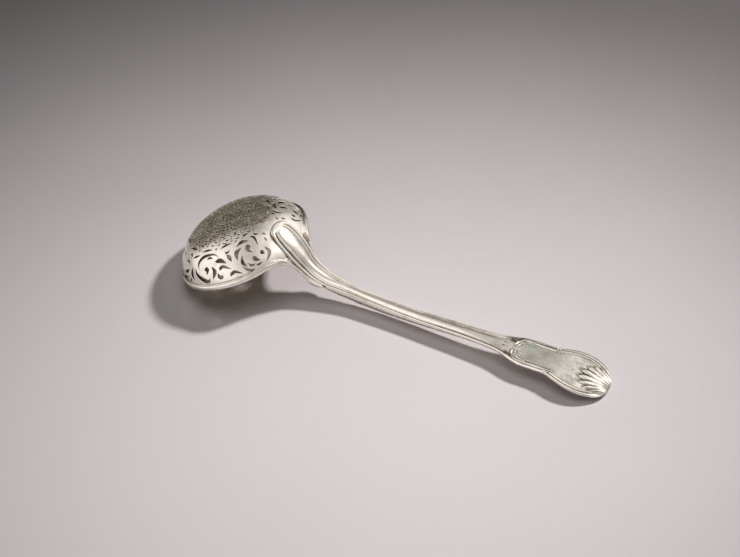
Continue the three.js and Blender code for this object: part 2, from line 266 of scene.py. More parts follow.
# Piercing. A slit is its centre line, its greatest width and the share along it where that lies;
# millimetres round the rim and up the wall. A bud has a round head at its first point.
SCROLL = [
    ([(7.6, 4.4), (4.8, 6.6), (2.0, 6.9), (-1.6, 5.9), (-4.1, 2.6), (-3.4, -1.5)],
     1.25, 0.62, False),
    ([(-6.1, 0.9), (-5.8, -2.6), (-3.1, -5.4), (0.4, -7.2), (2.4, -5.6)], 2.0, 0.66, False),
    ([(3.7, 0.8), (5.1, -2.4), (3.6, -6.4)], 1.55, 0.5, False),
    ([(-0.2, 0.1), (1.3, -0.9), (0.5, -3.6)], 1.9, 0.2, True),
    ([(0.9, 4.7), (2.5, 5.4), (4.3, 4.6)], 0.95, 0.5, False),
    ([(5.4, 3.0), (8.3, 2.7), (11.4, 0.3)], 1.7, 0.34, False),
    ([(7.6, -2.2), (9.4, -0.6), (13.7, -3.4)], 1.45, 0.3, False),
    ([(9.1, -6.3), (7.2, -5.6), (6.7, -3.0)], 1.75, 0.2, True),
]
LEAVES = [
    ([(12.3, -7.0), (14.6, -5.3), (18.5, -8.3)], 1.5, 0.3, False),
    ([(-8.6, 0.6), (-9.5, -4.0), (-8.2, -8.2)], 1.6, 0.45, False),
    ([(-8.9, 4.6), (-6.2, 6.0), (-3.2, 7.2)], 0.85, 0.5, False),
    ([(9.8, 6.6), (11.2, 5.4), (12.6, 6.6)], 0.9, 0.5, False),
    ([(11.1, 4.6), (12.7, 2.6), (13.8, 0.2)], 1.35, 0.4, False),
    ([(-11.4, -1.2), (-14.4, -3.4), (-17.6, -4.2)], 1.3, 0.4, False),
    ([(-13.6, -6.0), (-18.8, -8.0), (-23.6, -8.2)], 1.4, 0.4, False),
    ([(-15.2, 2.6), (-11.9, 2.3), (-12.6, 0.3)], 1.0, 0.5, False),
    ([(-12.2, 5.6), (-10.0, 6.4), (-10.4, 3.6)], 1.0, 0.4, False),
    ([(-17.4, 5.4), (-19.4, 3.0), (-18.6, -0.6)], 1.2, 0.4, False),
    ([(-12.6, -8.6), (-11.4, -7.2), (-11.9, -4.8)], 1.1, 0.4, False),
]
THROAT_SCROLL = [
    ([(-1.4, 5.6), (-4.5, 4.2), (-5.7, 0.4)], 1.6, 0.5, False),
    ([(-3.4, 7.0), (-0.1, 8.0), (3.1, 6.5)], 1.35, 0.55, False),
    ([(2.1, 4.6), (0.8, 3.9), (0.7, 2.4), (2.0, 0.6)], 1.9, 0.16, True),
    ([(3.6, 8.4), (5.7, 6.6), (5.3, 1.6)], 0.95, 0.5, False),
    ([(6.0, -1.4), (5.2, -2.2), (6.2, -3.5)], 1.5, 0.24, True),
    ([(7.4, -0.4), (8.2, -4.2), (4.9, -7.7)], 1.3, 0.5, False),
    ([(-3.0, 1.8), (-4.3, -1.8), (-3.3, -4.6)], 1.35, 0.5, False),
    ([(-5.3, -3.4), (-3.4, -6.9), (0.6, -8.9)], 1.15, 0.5, False),
    ([(1.0, -1.2), (1.4, -3.4), (3.0, -5.2)], 1.6, 0.3, False),
    ([(0.1, -6.3), (1.6, -6.7), (3.5, -6.4)], 0.9, 0.5, False),
    ([(-2.6, -2.9), (-1.5, -5.2), (0.4, -5.4)], 1.0, 0.5, False),
    ([(6.3, 8.7), (6.9, 7.5), (8.3, 6.9)], 0.9, 0.5, False),
    ([(9.2, 5.6), (10.4, 5.0), (11.2, 3.8)], 0.8, 0.5, False),
    ([(9.3, 3.4), (9.8, 2.3), (9.5, 1.0)], 0.8, 0.5, False),
]
TIP_SPEAR = [([(0.0, 6.4), (0.3, 0.5), (0.0, -6.8)], 1.5, 0.45, False)]
# A small scroll repeated round the crown's field.
SPRIG = [
    ([(-2.3, 0.5), (-1.3, 1.35), (0.1, 1.1)], 0.62, 0.5, False),
    ([(-2.4, -0.5), (-1.3, -1.3), (0.1, -0.9)], 0.62, 0.5, False),
    ([(-0.7, 0.25), (0.2, 0.2), (0.7, -0.5)], 0.72, 0.3, True),
    ([(0.9, 0.8), (1.7, 1.35), (2.6, 0.7)], 0.56, 0.5, False),
    ([(1.0, -0.8), (1.8, -1.25), (2.7, -0.4)], 0.56, 0.5, False),
    ([(1.4, 0.1), (1.9, 0.15), (2.3, 0.05)], 0.62, 0.4, True),
]
# Motifs on the wall: slits, degrees down from the crown and round from the handle, and the points
# to a slit's side. Each is mirrored across the handle.
WALL_MOTIFS = [
    (SCROLL + LEAVES, 56, -88, 15),
    (SCROLL, 56, -163, 13),
    (THROAT_SCROLL, 58, -39.5, 11),
]
# Place of the spear at the bowl's tip, in the same degrees.
TIP_PLACE = (58, 180)
# Millimetres on the wall to a radian, down and round.
WALL_DOWN = 24.0
WALL_ROUND = 30.0
# Border of dashes and dots: degrees down, and degrees round of the first and to the next.
RING_LEVEL = 34.4
RING_FIRST = -87.5
RING_PERIOD = 27.7
RING_COUNT = 13
DASH = [(-3.3, -0.6), (0.0, 0.3), (3.2, 0.2)]
DASH_WIDTH = 0.95
# Dashes beside the heel, cut finer.
FINE_DASHES = (2, 3, 4)
FINE_DASH_WIDTH = 0.6
DOT = [([(-0.5, 0.0), (0.0, 0.1), (0.55, 0.0)], 0.85, 0.5, True)]
# Field of the crown, in plan along the spoon: two rows of sprigs, then rings of single curls.
SPRIG_REACH = (16.3, 12.9)
SPRIG_PITCH = 5.9
FIELD_EDGE = 1.9
FIELD_STEP = 2.05
FIELD_PITCH = 1.95
CURL = np.array([(-0.72, -0.25), (0.1, 0.25), (0.75, -0.1)])
# Mean girth of the oval over that of a circle along its length.
OVAL = 1.085
# Layout of the sheet: degrees between points of its edge, and rings of points that fill it.
EDGE_STEP = 1.5
FILLER_RINGS = 30
# All slits are cut wider than drawn by this.
SLIT_BOLD = 1.4
# Brown over the field, degrees: how far down it reaches and its fade below that, what the reach
# loses near the throat and the turn and spread of that, and what it gains beyond, likewise.
BROWN_DOWN = 40
BROWN_FADE = np.radians(9)
BROWN_LOST = 13
CLEAN_TURN = np.radians(-55)
CLEAN_SPREAD = np.radians([62, 18])
BROWN_GAINED = 4
DULL_TURN = np.radians(35)
DULL_SPREAD = np.radians(45)


def slit(line, width, swell, bud, shrink, count):
    """Outline of a slit: the spine's left side out and its right side back. The width grows from
    the first point to the swell and tapers to nothing at the last; a bud's head is round."""
    spine = spline(line, count)
    way = np.gradient(spine, axis=0)
    side = unit(np.stack([-way[:, 1], way[:, 0]], 1))
    t = np.linspace(0, 1, count)
    rise = np.clip(1 - t / swell, 0, 1)
    fall = np.clip((t - swell) / (1 - swell), 0, 1)
    head = np.sqrt(1 - rise**2) if bud else 1 - rise**1.7
    half = np.clip(SLIT_BOLD * width / 2 * np.minimum(head, 1 - fall**1.7) - shrink, 0.02, None)
    left = spine + side * half[:, None]
    right = spine - side * half[:, None]
    return np.vstack([spine[:1], left[1:-1], spine[-1:], right[-2:0:-1]])


def on_wall(outline, level, turn, mirror):
    """Angle and turn on the dome of millimetre offsets about a place, or about its mirror image."""
    angle = np.radians(level) - outline[:, 1] / WALL_DOWN
    turn = np.radians(turn)
    about = turn + outline[:, 0] / (WALL_ROUND * np.sin(angle) ** plan_power(turn))
    return np.stack([angle, -about if mirror else about], 1)


def on_crown(outline, reach, turn):
    """Angle and turn on the dome of millimetre offsets about a place in plan."""
    c, s = np.cos(turn), np.sin(turn)
    out = reach - outline[:, 1]
    x, y = out * c - outline[:, 0] * s, out * s + outline[:, 0] * c
    about = np.arctan2(y, x)
    spread = np.clip(np.hypot(x, y) / HALF_LENGTH, 1e-4, 1.0)
    return np.stack([np.arcsin(spread ** (1 / plan_power(about))), about], 1)


def pierced_slits(shrink):
    """Every slit's outline as angle and turn, each shrunk by a margin."""
    holes = []

    def place(motif, level, turn, mirror, count):
        for line, width, swell, bud in motif:
            holes.append(on_wall(slit(line, width, swell, bud, shrink, count), level, turn, mirror))

    for mirror in (False, True):
        for motif, level, turn, count in WALL_MOTIFS:
            place(motif, level, turn, mirror, count)
    place(TIP_SPEAR, *TIP_PLACE, False, 11)
    for n in range(RING_COUNT):
        width = FINE_DASH_WIDTH if n in FINE_DASHES else DASH_WIDTH
        place([(DASH, width, 0.55, False)], RING_LEVEL, RING_FIRST + n * RING_PERIOD, False, 9)
        place(DOT, RING_LEVEL, RING_FIRST + (n + 0.5) * RING_PERIOD, False, 6)
    for row, reach in enumerate(SPRIG_REACH):
        around = int(round(2 * np.pi * reach * OVAL / SPRIG_PITCH))
        for n in range(around):
            turn = 2 * np.pi * (n + 0.5 * row) / around
            flip = np.array([1.0, 1.0 if n % 2 else -1.0])
            for line, width, swell, bud in SPRIG:
                outline = slit(np.array(line) * flip, width, swell, bud, shrink, 6)
                holes.append(on_crown(outline, reach, turn))
    for k in range(1, int((SPRIG_REACH[1] - FIELD_EDGE) / FIELD_STEP) + 1):
        around = int(round(2 * np.pi * k * FIELD_STEP * OVAL / FIELD_PITCH))
        for n in range(around):
            wander = np.sin(12.9 * n + 7.1 * k)
            turn = 2 * np.pi * (n + 0.5 * (k % 2) + 0.12 * wander) / around
            tilt = 1.5 * np.sin(3.7 * n + 2.3 * k)
            c, s = np.cos(tilt), np.sin(tilt)
            curl = CURL @ np.array([[c, s], [-s, c]])
            reach = k * FIELD_STEP + 0.15 * np.sin(5.3 * n)
            outline = slit(curl, 0.82 + 0.1 * wander, 0.32, True, shrink, 6)
            holes.append(on_crown(outline, reach, turn))
    return holes


def winding(flat, ring):
    """The ring's points in anticlockwise order on the layout."""
    x, y = flat[ring].T
    area = np.sum(x * np.roll(y, -1) - y * np.roll(x, -1))
    return (ring if area > 0 else ring[::-1]).tolist()


def field_brown(angle, turn):
    """Share of brown over the field: one near the crown, fading at an angle that is less on the
    near side of the throat and more on its far side."""
    clean = smooth(*CLEAN_SPREAD, np.abs(turn - CLEAN_TURN))
    dull = np.abs(turn - DULL_TURN) < DULL_SPREAD
    limit = np.radians(BROWN_DOWN - BROWN_LOST * clean + BROWN_GAINED * dull)
    return smooth(limit, limit - BROWN_FADE, angle)


def disc_filler(rings):
    """Radius and turn of points spread evenly over a disc: six more to each ring, staggered."""
    rows = []
    for k in range(1, rings):
        steps = np.arange(6 * k) + 0.5 * (k % 2)
        rows.append(np.stack([np.full(6 * k, k / rings), 2 * np.pi * steps / (6 * k)], 1))
    return np.vstack(rows)


def pierced_sheet():
    """Outer and inner skins of the dome over one flat layout, a disc whose radius is the angle down
    from the crown: the slits are cut out of the layout and their edges joined by chamfer and wall.
    Gives the points, the faces, how many of each kind, the corners' normals and the brown."""
    wall, chamfer = size("bowl_wall"), size("slit_chamfer")
    wide = pierced_slits(0.0)
    narrow = np.vstack(pierced_slits(chamfer))
    starts = np.concatenate([[0], np.cumsum([len(h) for h in wide])])
    edge = np.radians(np.arange(0, 360, EDGE_STEP))
    slit_spots = np.vstack(wide) / np.array([np.pi / 2, 1.0])
    rim_spots = np.stack([np.ones_like(edge), edge], 1)
    polar = np.vstack([slit_spots, rim_spots, disc_filler(FILLER_RINGS), [[0.004, 0.0]]])
    flat = np.stack([polar[:, 0] * np.cos(polar[:, 1]), polar[:, 0] * np.sin(polar[:, 1])], 1)
    outlines = [winding(flat, np.arange(a, b)) for a, b in zip(starts[:-1], starts[1:])]
    first = starts[-1]
    loop = [(first + i, first + (i + 1) % len(edge)) for i in range(len(edge))]
    spots, _, faces, origin, _, owners = delaunay_2d_cdt(
        [Vector(p) for p in flat], loop, outlines, 0, 1e-7, True)
    spots = np.array([tuple(p) for p in spots])
    kept = np.array([f for f, o in zip(faces, owners) if not o])
    turned = np.array([o[0] if o and o[0] < first else -1 for o in origin])
    angle = np.clip(np.hypot(spots[:, 0], spots[:, 1]), 0.002, 1.0) * np.pi / 2
    turn = np.arctan2(spots[:, 1], spots[:, 0])
    angle_in = np.where(turned >= 0, narrow[turned, 0], angle)
    turn_in = np.where(turned >= 0, narrow[turned, 1], turn)
    normal = dome_normal(angle, turn)
    outer = dome(angle, turn)
    normal_in = dome_normal(angle_in, turn_in)
    middle = dome(angle_in, turn_in) - normal_in * chamfer
    inner = dome(angle_in, turn_in, -wall)
    n = len(spots)
    pairs = np.concatenate([kept[:, [0, 1]], kept[:, [1, 2]], kept[:, [2, 0]]])
    code = pairs[:, 0] * n + pairs[:, 1]
    lone = pairs[~np.isin(code, pairs[:, 1] * n + pairs[:, 0])]
    a, b = lone[:, 0], lone[:, 1]
    soft = np.stack([b, a, a + n, b + n], 1)
    steep = np.stack([b + n, a + n, a + 2 * n, b + 2 * n], 1)
    points = np.vstack([outer, middle, inner])
    used = np.unique(np.concatenate([kept, kept + 2 * n, soft, steep], axis=None))
    index = np.full(3 * n, -1)
    index[used] = np.arange(len(used))
    skin = index[kept]
    lining = index[kept[:, ::-1] + 2 * n]
    bevels, walls = index[soft], index[steep]
    corner = [normal[kept].reshape(-1, 3), -normal_in[kept[:, ::-1]].reshape(-1, 3)]
    for quads in (soft, steep):
        p = points[quads]
        flat_normal = np.cross(p[:, 2] - p[:, 0], p[:, 3] - p[:, 1])
        flat_normal /= np.linalg.norm(flat_normal, axis=1, keepdims=True) + 1e-12
        corner.append(np.repeat(flat_normal, 4, axis=0))
    down = np.concatenate([angle, angle_in, angle_in])[used]
    about = np.concatenate([turn, turn_in, turn_in])[used]
    kinds = (skin, lining, bevels, walls)
    return (points[used], sum((k.tolist() for k in kinds), []), [len(k) for k in kinds],
            np.vstack(corner), field_brown(down, about))


# Sections round the rim, and the turn between faces that leaves a sharp edge on wire and tongue.
RIM_SECTIONS = 221
RIM_SHARP = np.radians(50)
# Points round the rim wire's section: bead, fillet and back.
BEAD_POINTS = 14
FILLET_POINTS = 9
BACK_POINTS = 6
# How far out from the bowl's edge the foot and the top of the wire's face lie.
FOOT_OUT = 0.15
TOP_OUT = 0.1
# How far inside the bowl's outside the wire's back lies.
RIM_BITE = 0.4


def rim_section():
    """Front of the rim wire, out from the bowl's edge and up from the mouth: a bead below, a fine
    groove, and a small fillet above, two half ellipses on one line."""
    rise = size("rim_height")
    t = np.linspace(0, np.pi, BEAD_POINTS + 1)
    bead = np.stack([FOOT_OUT + 0.72 * np.sin(t), 0.39 * rise * (1 - np.cos(t))], 1)
    s = np.linspace(0.35, np.pi, FILLET_POINTS)
    fillet = np.stack([TOP_OUT + 0.34 * np.sin(s), rise * (0.89 - 0.11 * np.cos(s))], 1)
    return np.vstack([bead[:-1], fillet])


def rim_shade():
    """Darkening painted along the rim's section: a little in the groove, most on the line above."""
    top = BEAD_POINTS + FILLET_POINTS
    shade = np.zeros(top + BACK_POINTS)
    shade[BEAD_POINTS - 1:BEAD_POINTS + 1] = 0.25
    shade[top - 2:top] = 1.0
    return shade


def rim_rings(turns):
    """The section carried round the rim, its back following the dome inside the wall."""
    section = rim_section()
    front = rim_line(turns[:, None], section[:, 0], section[:, 1])
    heights = np.linspace(section[-1, 1], 0.0, BACK_POINTS)
    angle = np.arccos((heights / size("bowl_depth")) ** (1 / HEIGHT_POWER))
    back = dome(*np.broadcast_arrays(angle[None, :], turns[:, None]), -RIM_BITE)
    return np.concatenate([front, back], 1)


# Near flare of the throat tongue, from the bowl to its end: foot of the band, then its top.
FLARE_FOOT = [(53.4, -14.0, 21.35), (56.0, -10.4, 20.0), (58.2, -8.3, 17.5), (60.9, -6.75, 13.9),
              (64.4, -6.05, 9.5), (67.6, -5.6, 8.35), (TONGUE_END, -5.15, 8.3)]
FLARE_TOP = [(51.9, -14.2, 24.3), (54.6, -10.5, 22.9), (57.2, -8.1, 19.4), (60.4, -6.45, 15.6),
             (64.2, -5.75, 12.2), (67.8, -5.4, 10.6), (TONGUE_END, -5.1, 9.6)]
FLARE_STEPS = 40
# Plate between the flares: stretch of the handle over it, points across, gap under the handle, rise
# over its edges, least wall.
PLATE_SPAN = (48, 76)
PLATE_COLUMNS = 25
PLATE_GAP = 0.12
PLATE_RISE = 0.6
PLATE_WALL = 0.9


def flare_lines():
    """Foot and top lines of the near flare, leaving the rim in its own direction."""
    turns = -FLARE_TURN - np.array([0.05, 0.0])
    foot = rim_line(turns, FOOT_OUT, 0.0)
    top = rim_line(turns, TOP_OUT, rim_section()[-1, 1])
    lead = FLARE_STEPS // 8
    return [spline(np.vstack([start, rest]), FLARE_STEPS + lead + 1)[lead:]
            for start, rest in ((foot, FLARE_FOOT), (top, FLARE_TOP))]


def flare_rings(side):
    """The rim's section carried along a flare and soon plain: up is from foot to top, out is square
    to the way, and the back is thickest under the handle's edge."""
    foot, top = (p * np.array([1.0, side, 1.0]) for p in flare_lines())
    section = rim_section()
    share = section[:, 1] / section[-1, 1]
    up = top - foot
    out = unit(np.cross(np.gradient(foot, axis=0), up) * side)
    v = np.linspace(0, 1, len(foot))
    plain = smooth(0.0, 0.25, v)[:, None]
    swell = FOOT_OUT + 0.55 * np.sqrt(np.clip(1 - (2 * share - 1) ** 2, 0, 1))
    bulge = section[:, 0] * (1 - plain) + swell * plain
    front = foot[:, None] + up[:, None] * share[None, :, None] + out[:, None] * bulge[:, :, None]
    back_share = np.linspace(1.0, 0.0, BACK_POINTS)[None, :, None]
    inward = 0.45 + 1.5 * between(v, 0.0, 0.22, 0.35, 0.6)
    back = foot[:, None] + up[:, None] * back_share - (out * inward[:, None])[:, None]
    return np.concatenate([front, back], 1)


def throat_plate():
    """A plate between the bowl's edge and the tongue's end: the patch blended from its four edges,
    the rim's arc, the end line and the two flares, pressed down to lie under the handle."""
    near = flare_lines()[0]
    far = near * MIRROR
    v = np.linspace(0, 1, len(near))[:, None, None]
    u = np.linspace(0, 1, PLATE_COLUMNS)[None, :, None]
    arc = rim_line(np.linspace(-FLARE_TURN, FLARE_TURN, PLATE_COLUMNS), FOOT_OUT, 0.0)
    end = near[-1] + (far[-1] - near[-1]) * u[0]
    patch = (1 - v) * arc[None] + v * end[None] + (1 - u) * near[:, None] + u * far[:, None]
    first, last = (1 - v) * near[0] + v * near[-1], (1 - v) * far[0] + v * far[-1]
    under = patch - ((1 - u) * first + u * last)
    edge = natural(HANDLE_EDGE, np.linspace(0, 1, 800))
    x, half, z = edge[(edge[:, 0] > PLATE_SPAN[0]) & (edge[:, 0] < PLATE_SPAN[1])].T
    slope = np.gradient(z) / np.gradient(x)
    lean = np.hypot(slope, 1)
    below = np.interp(x, *SIDE_DEPTH) + PLATE_GAP
    limit = np.interp(under[..., 0], x + below * slope / lean, z - below / lean)
    covered = np.abs(under[..., 1]) < np.interp(under[..., 0], x, half) + 1.0
    upper = under.copy()
    upper[..., 2] = np.minimum(under[..., 2] + PLATE_RISE, np.where(covered, limit, np.inf))
    under[..., 2] = np.minimum(under[..., 2], upper[..., 2] - PLATE_WALL)
    return np.concatenate([under, upper[:, ::-1]], 1)


# Handle. Knots of its edge: along, half-width, height of the edge; millimetres.
HANDLE_EDGE = [
    (42.8, 0.05, 31.55), (42.95, 1.6, 31.52), (43.35, 3.2, 31.42), (44.0, 4.5, 31.2),
    (46.0, 6.15, 30.2), (48.0, 7.1, 28.75), (50.0, 7.6, 27.0), (52.0, 7.83, 25.1),
    (54.0, 7.8, 23.1), (56.0, 7.55, 20.95), (58.0, 7.1, 18.7), (60.0, 6.45, 16.35),
    (62.0, 5.95, 14.45), (64.0, 5.7, 13.0), (66.0, 5.55, 11.95), (68.0, 5.35, 11.1),
    (71.0, 5.03, 10.05), (76.0, 4.37, 9.05), (80.0, 3.77, 8.45), (84.0, 3.3, 7.85),
    (88.0, 3.1, 7.4), (94.0, 3.15, 7.05), (100.0, 3.33, 6.75), (110.0, 3.55, 6.45),
    (120.0, 3.78, 6.45), (130.0, 3.92, 6.65), (140.0, 4.05, 6.9), (150.0, 4.47, 7.0),
    (155.0, 4.85, 7.0), (160.0, 5.6, 7.0), (164.0, 6.8, 6.9), (168.0, 8.14, 6.75),
    (172.0, 8.88, 6.62), (176.0, 8.86, 6.6), (180.0, 8.82, 6.66), (184.0, 9.0, 6.72),
    (186.0, 9.6, 6.7), (190.0, 11.0, 6.5), (194.0, 12.05, 6.05), (198.0, 12.45, 5.4),
    (202.0, 12.05, 4.6), (205.0, 11.0, 3.85), (207.0, 9.95, 3.2), (209.0, 8.5, 2.55),
    (210.6, 6.5, 1.95), (211.6, 3.9, 1.5), (212.0, 0.05, 1.3),
]
# Wanted spacing of sections along the handle.
SPACING = ([42.8, 44, 50, 70, 90, 158, 163, 186, 206, 212],
           [0.14, 0.3, 0.42, 0.45, 0.75, 0.75, 0.24, 0.26, 0.22, 0.12])
# Depth of the side below the edge.
SIDE_DEPTH = ([42, 56, 71.8, 72.0, 78.6, 88, 101, 115, 128, 140, 147, 160, 212],
              [1.0, 1.1, 1.1, 2.3, 3.7, 4.3, 3.9, 3.1, 2.3, 1.9, 1.45, 1.3, 1.45])
# Width of the border of two threads, and rise of the panel between the borders.
BORDER = ([42, 48, 54, 60, 66, 90, 150, 163, 186, 198, 212],
          [3.3, 4.0, 4.6, 4.0, 3.2, 1.7, 1.9, 2.3, 2.6, 3.3, 3.0])
CROWN = ([42.8, 46, 54, 62, 80, 140, 163, 212], [0.15, 0.9, 1.5, 1.45, 1.1, 0.95, 0.2, 0.15])
# Part of that rise that begins at the edge, so that the threads follow the bowl.
LIFT = ([42.8, 46, 54, 60, 66], [0.1, 0.6, 0.85, 0.65, 0.0])
# Where the handle has left the bowl, and how far its heel is let into the bowl's wall.
HEEL_CLEAR = 60.0
HEEL_SUNK = 0.5
# The sections lean with the edge between these, and keep that lean beyond them.
STEADY = (44.0, 211.0)
# Threads: run over which they begin, where they end, where the pair becomes one and is two again,
# and the width of the one.
THREADS_BEGIN = (2.2, 5.0)
THREADS_END = (208.5, 205.0)
PAIR_ENDS = (165.6, 163.4)
PAIR_AGAIN = (184.9, 186.6)
ONE_THREAD = 1.35
# Stretches along the handle: each begins, is full, begins to end, and has ended.
SHOULDER_GROOVES = (118.0, 138.0, 161.0, 167.0)
STEM = (78.0, 92.0, 152.0, 160.0)
WAIST = (158.0, 164.0, 182.0, 184.5)
DIP = (161.4, 163.6, 165.6, 168.0)
PANEL = (164.5, 168.5, 204.0, 208.0)
LIP = (184.0, 188.0, 206.0, 210.0)
# Painted shade in the step where the tongue ends.
TONGUE_STEP_SHADE = 71.8
# Points across half the top and how they crowd to its edge, shares down the side and along the
# back, and the step over which the relief's slopes are taken.
TOP_POINTS = 55
TOP_CROWD = 1.6
SIDE_SHARES = np.array([[0.04, 0.2, 0.4, 0.6, 0.8, 0.95, 1.0]])
BACK_SHARES = np.array([[0.75, 0.4, 0.0]])
SLOPE_STEP = 0.04
# Turn between faces that leaves a sharp edge.
HANDLE_SHARP = np.radians(55)

# Ridges on the fiddle, right half: path of along and across, half-width, rise. The skirt is how
# far each spreads, in half-widths.
SKIRT = 1.35
VOLUTES = [
    ([(165.5, 2.4), (166.0, 4.3), (167.2, 6.0), (169.3, 6.85), (172.5, 6.85), (177.0, 6.65),
      (183.4, 6.7)], 0.62, 0.5),
    ([(166.9, 1.9), (167.7, 3.7), (169.0, 4.9), (170.8, 5.5), (173.4, 5.8)], 0.42, 0.36),
    ([(168.2, 1.5), (169.0, 2.9), (170.4, 3.9), (172.4, 4.5), (175.0, 4.8)], 0.36, 0.24),
    ([(169.0, 3.2), (168.4, 4.4), (167.6, 4.9), (167.2, 4.3), (167.7, 3.7)], 0.34, 0.4),
    ([(161.2, 1.0), (163.4, 1.15)], 0.36, 0.12),
    ([(165.6, 0.75), (166.6, 0.9)], 0.36, 0.16),
    ([(169.2, 1.7), (170.1, 2.3)], 0.36, 0.24),
    ([(183.5, 8.7), (184.2, 7.3), (185.1, 5.9)], 0.48, 0.62),
    ([(184.6, 8.9), (185.3, 7.4), (186.2, 6.2), (187.0, 6.6)], 0.42, 0.55),
]
SHELL_ROOT = 213.0
SHELL_REACH = 14.7
# Ribs on each side of the shell's middle line; the turn at rib n, in degrees, is wide times n
# less close times n squared.
RIBS = 6
RIB_WIDE = 16.5
RIB_CLOSE = 1.2


def nearest(points, line):
    """Distance from each point to a polyline, worked out piece by piece as whole arrays."""
    best = np.full(len(points), 1e9)
    for a, b in zip(line[:-1], line[1:]):
        way = b - a
        t = np.clip(((points - a) @ way) / max(way @ way, 1e-12), 0, 1)
        best = np.minimum(best, np.sum((points - a - t[:, None] * way) ** 2, 1))
    return np.sqrt(best)


def ridge(along, across, path, half):
    """A soft ridge along a smooth path: one less the square of distance over half, to a power."""
    line = spline(path, 6 * len(path))
    lo, hi = line.min(0) - half, line.max(0) + half
    near = (along > lo[0]) & (along < hi[0]) & (across > lo[1]) & (across < hi[1])
    rise = np.zeros(along.shape)
    apart = np.full(along.shape, 9.0)
    spots = np.stack([along[near], across[near]], 1)
    if len(spots):
        apart[near] = nearest(spots, line)
        rise[near] = np.clip(1 - (apart[near] / half) ** 2, 0, 1) ** 1.5
    return rise, apart


def bead_pair(share):
    """Two rounded threads over a border, with a broad groove between and a fine one inside."""
    outer = np.sin(np.pi * np.clip(share / 0.41, 0, 1)) ** 1.1
    inner = 0.95 * np.sin(np.pi * np.clip((share - 0.59) / 0.32, 0, 1)) ** 1.1
    broad = 0.5 * np.exp(-((share - 0.5) / 0.07) ** 2)
    fine = 0.35 * np.exp(-((share - 0.95) / 0.04) ** 2)
    return outer + inner - (broad + fine)


def grooves(share, border, along):
    """Where dirt stays between the threads; not narrower where the border is, and broader by the
    shoulders; and a dark line painted along the top's outer edge."""
    broad = between(along, *SHOULDER_GROOVES)
    wide = np.clip((0.28 + 0.17 * broad) / border, 0.1, 0.14 + 0.1 * broad)
    middle = np.exp(-((share - 0.5) / wide) ** 4)
    inner = 0.8 * np.exp(-((share - 0.95) / (0.5 * wide)) ** 2)
    return np.clip(middle + inner + 0.9 * np.exp(-(share / 0.05) ** 2), 0, 1)


def shell(along, across, rise):
    """A fan of lobes about a root past the tip: each a narrow ridge with a rounded head on an arc
    whose reach falls with the cosine of the turn; the ribs run together by the root, and wedges
    open between them toward the heads."""
    dx, dy = SHELL_ROOT - along, across
    reach = SHELL_REACH * np.clip(np.cos(np.arctan2(dy, dx)), 0.02, 1) ** 0.88
    turn = np.arctan2(dy, dx + 4.0 * np.exp(-np.clip(dx, 0, None) / 4.0))
    square = RIB_WIDE**2 - 4 * RIB_CLOSE * np.degrees(np.abs(turn))
    place = (RIB_WIDE - np.sqrt(np.clip(square, 0, None))) / (2 * RIB_CLOSE)
    off = 2 * np.abs(place - np.floor(place) - 0.5)
    far = np.hypot(dx, dy) / (reach * (1.03 - 0.14 * off**2))
    inside = (place < RIBS) & (dx > 0)
    outward = smooth(0.5, 1.0, far)
    lobe = np.clip(1 - (off / (1.12 - 0.42 * outward)) ** 2, 0, 1) ** 0.8
    head = np.clip(far - 0.82, 0, 1) / 0.18
    body = smooth(-0.1, 0.45, far) * np.sqrt(np.clip(1 - head**2, 0, 1))
    base = 0.78 * (1 - outward) + 0.08
    lobes = np.where(inside & (far < 1), body * (base + (1 - base) * lobe), 0.0) * rise
    open_at = 1.47 - 0.95 * far
    gap = np.where(inside & (far < 1.05), smooth(open_at - 0.05, open_at + 0.12, off), 0.0)
    fine = np.where(inside, smooth(0.4, 0.9, off) * smooth(0.5, 0.3, far), 0.0)
    rim = np.where(inside, np.exp(-((far - 1.04) / 0.05) ** 2), 0.0)
    root = np.where(inside, smooth(0.42, 0.1, far), 0.0)
    cover = np.where(inside, smooth(1.08, 1.0, far), 0.0)
    return lobes, np.clip(gap + fine + 0.75 * rim + 0.5 * root, 0, 1), cover


def handle_line():
    """Stations along the handle's edge: along, half-width, height, run and slope."""
    shares = np.linspace(0, 1, 4000)
    fine = natural(HANDLE_EDGE, shares)
    run = np.concatenate([[0], np.cumsum(np.linalg.norm(np.diff(fine, axis=0), axis=1))])
    dense = np.concatenate([[0], np.cumsum(np.diff(run) / np.interp(fine[1:, 0], *SPACING))])
    steps = np.linspace(0, dense[-1], int(dense[-1]) + 1)
    x, half, z = natural(HANDLE_EDGE, np.interp(steps, dense, shares)).T
    half = np.maximum(half, 0.04)
    run = np.concatenate([[0], np.cumsum(np.hypot(np.diff(x), np.diff(z)))])
    slope = np.gradient(z) / np.maximum(np.gradient(x), 1e-6)
    first, last = np.interp(STEADY, x, slope)
    slope = np.where(x < STEADY[0], first, np.where(x > STEADY[1], last, slope))
    return x, half, z, run, slope


